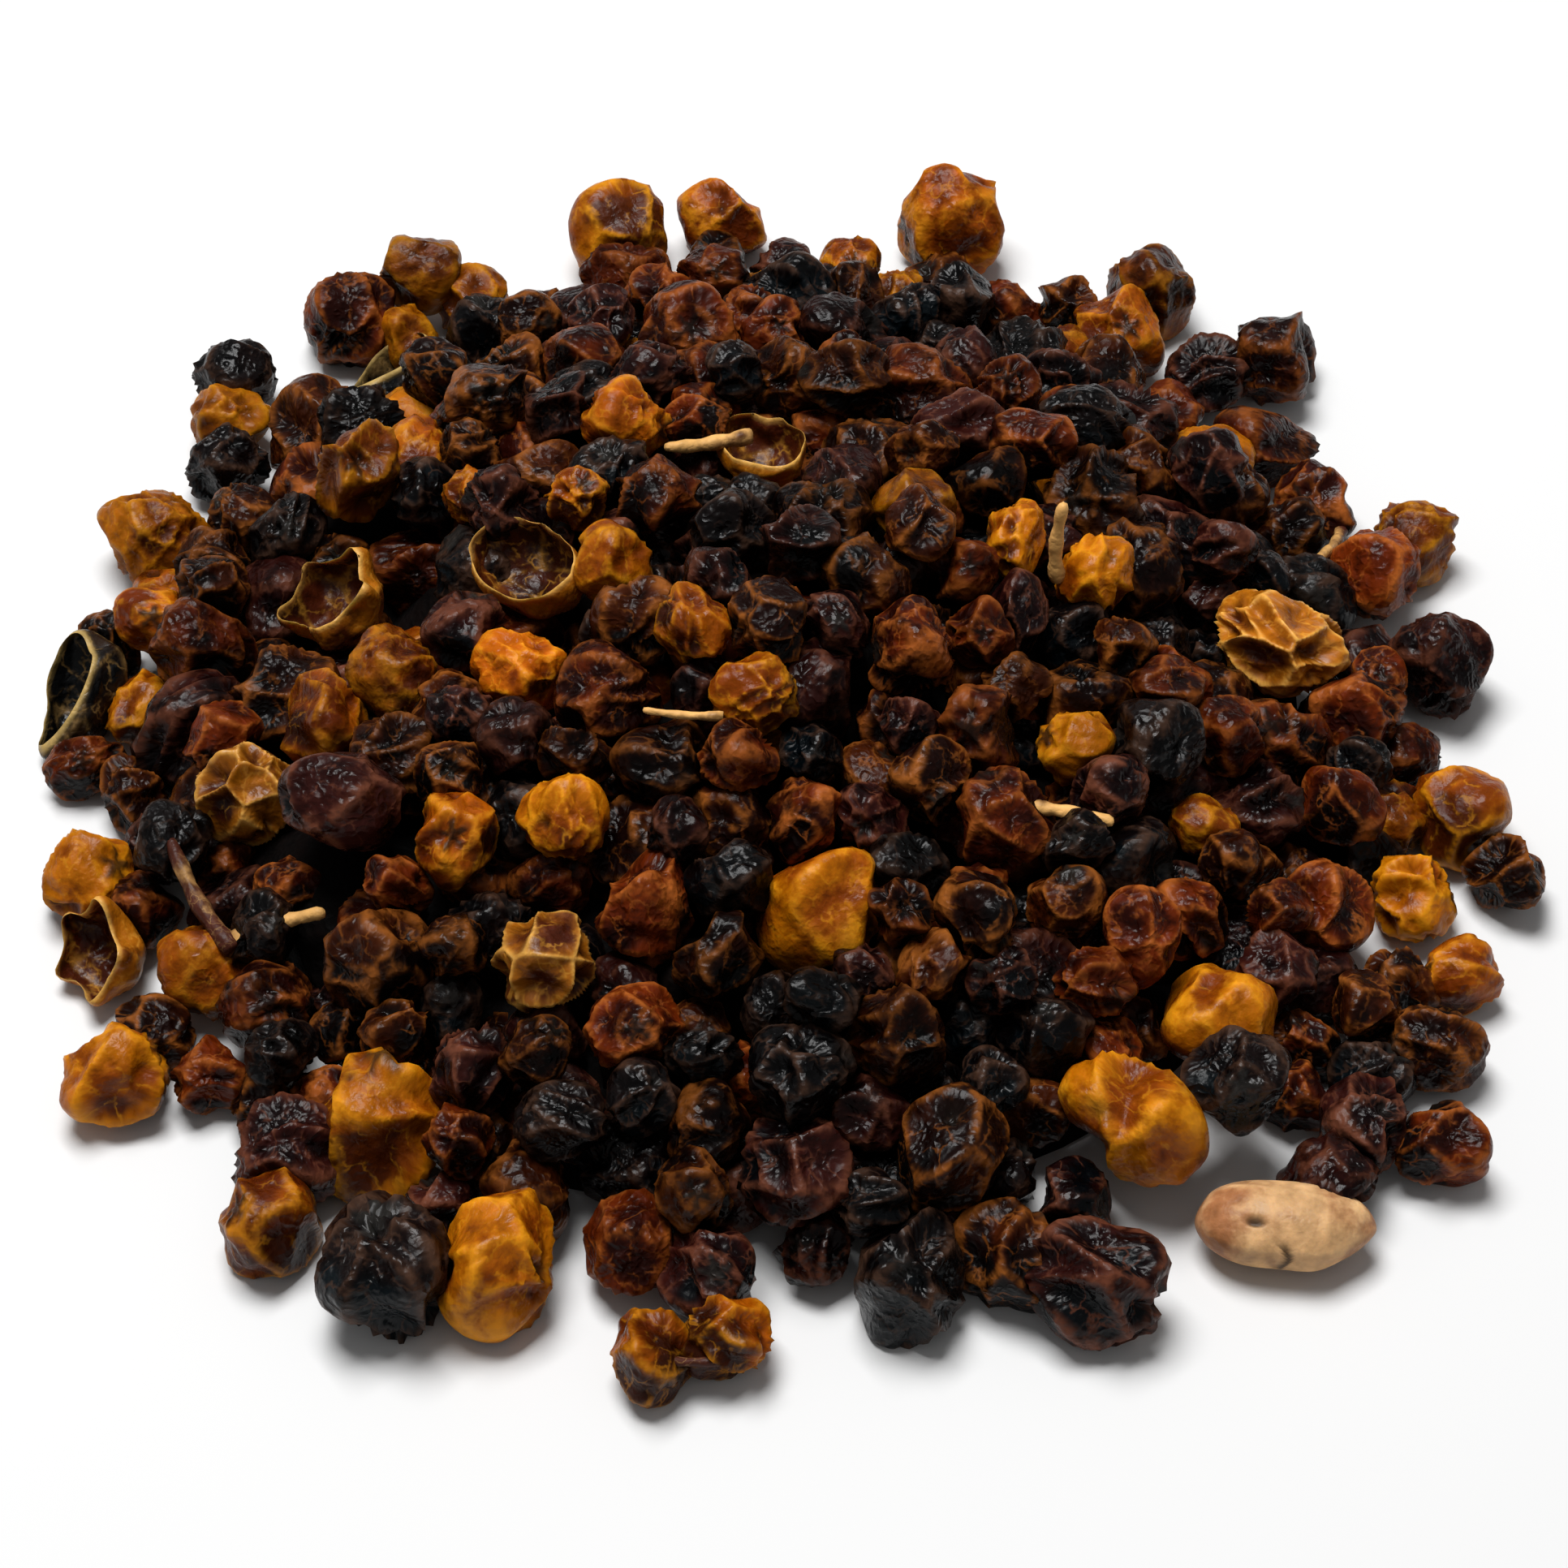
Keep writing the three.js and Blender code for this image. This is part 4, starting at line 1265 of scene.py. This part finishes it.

# %% [markdown]
# ## Surface, light and camera
# The heap lies on a plain white surface under soft light from above. The dark berries are so dark, and the
# painted shade inside the heap so near black, that even soft light leaves the gaps between them nearly
# black. The camera looks down at 47 degrees from about 0.37 m, which gives the heap its true perspective.

# %% Floor and light
HALF_FLOOR = 3
FLOOR_COLOUR = (0.68, 0.68, 0.68, 1)
FLOOR_ROUGHNESS = 0.9
SKY_COLOUR = (1, 1, 1, 1)
SKY_STRENGTH = 0.235
SOFTBOX_WIDTH = 0.4
SOFTBOX_PLACE = (-0.12, 0.14, 0.8)
SOFTBOX_POWER = 9.4

corners = [(x * HALF_FLOOR, y * HALF_FLOOR, 0) for x, y in ((-1, -1), (1, -1), (1, 1), (-1, 1))]
floor_mesh = bpy.data.meshes.new("white_surface")
floor_mesh.from_pydata(corners, [], [(0, 1, 2, 3)])
paper = Finish("white_paper", {"Base Color": FLOOR_COLOUR, "Roughness": FLOOR_ROUGHNESS})
floor_mesh.materials.append(paper.material)
floor = add_object("white_surface", floor_mesh)

world = bpy.data.worlds.new("soft_room")
bpy.context.scene.world = world
world.use_nodes = True
sky = world.node_tree.nodes["Background"]
sky.inputs["Color"].default_value = SKY_COLOUR
sky.inputs["Strength"].default_value = SKY_STRENGTH

softbox_light = bpy.data.lights.new("softbox", "AREA")
softbox_light.size = SOFTBOX_WIDTH
softbox_light.energy = SOFTBOX_POWER
softbox = add_object("softbox", softbox_light)
softbox.location = SOFTBOX_PLACE
softbox.rotation_euler = (-softbox.location).to_track_quat("-Z", "Y").to_euler()
bpy.context.scene.view_settings.view_transform = "Standard"
print("softbox at", rounded(softbox.location, 2), "m")

# %% Camera
CAMERA_RISE = 47
CAMERA_DISTANCE = 366
CAMERA_AIM = (2, -2.32)
FRAME_PIXELS = 1932
FOCAL_PIXELS = 5170
SENSOR = 36
NEAREST = 0.01

rise = math.radians(CAMERA_RISE)
aim = Vector((CAMERA_AIM[0] - MIDDLE[0], CAMERA_AIM[1] - MIDDLE[1], 0)) * MM
away = Vector((0, -math.cos(rise), math.sin(rise)))
lens = bpy.data.cameras.new("camera")
lens.sensor_width = SENSOR
lens.lens = SENSOR * FOCAL_PIXELS / FRAME_PIXELS
lens.clip_start = NEAREST
camera = add_object("camera", lens)
camera.location = aim + away * CAMERA_DISTANCE * MM
camera.rotation_euler = (-away).to_track_quat("-Z", "Y").to_euler()
bpy.context.scene.camera = camera
print("camera at", rounded(camera.location, 3), "m")
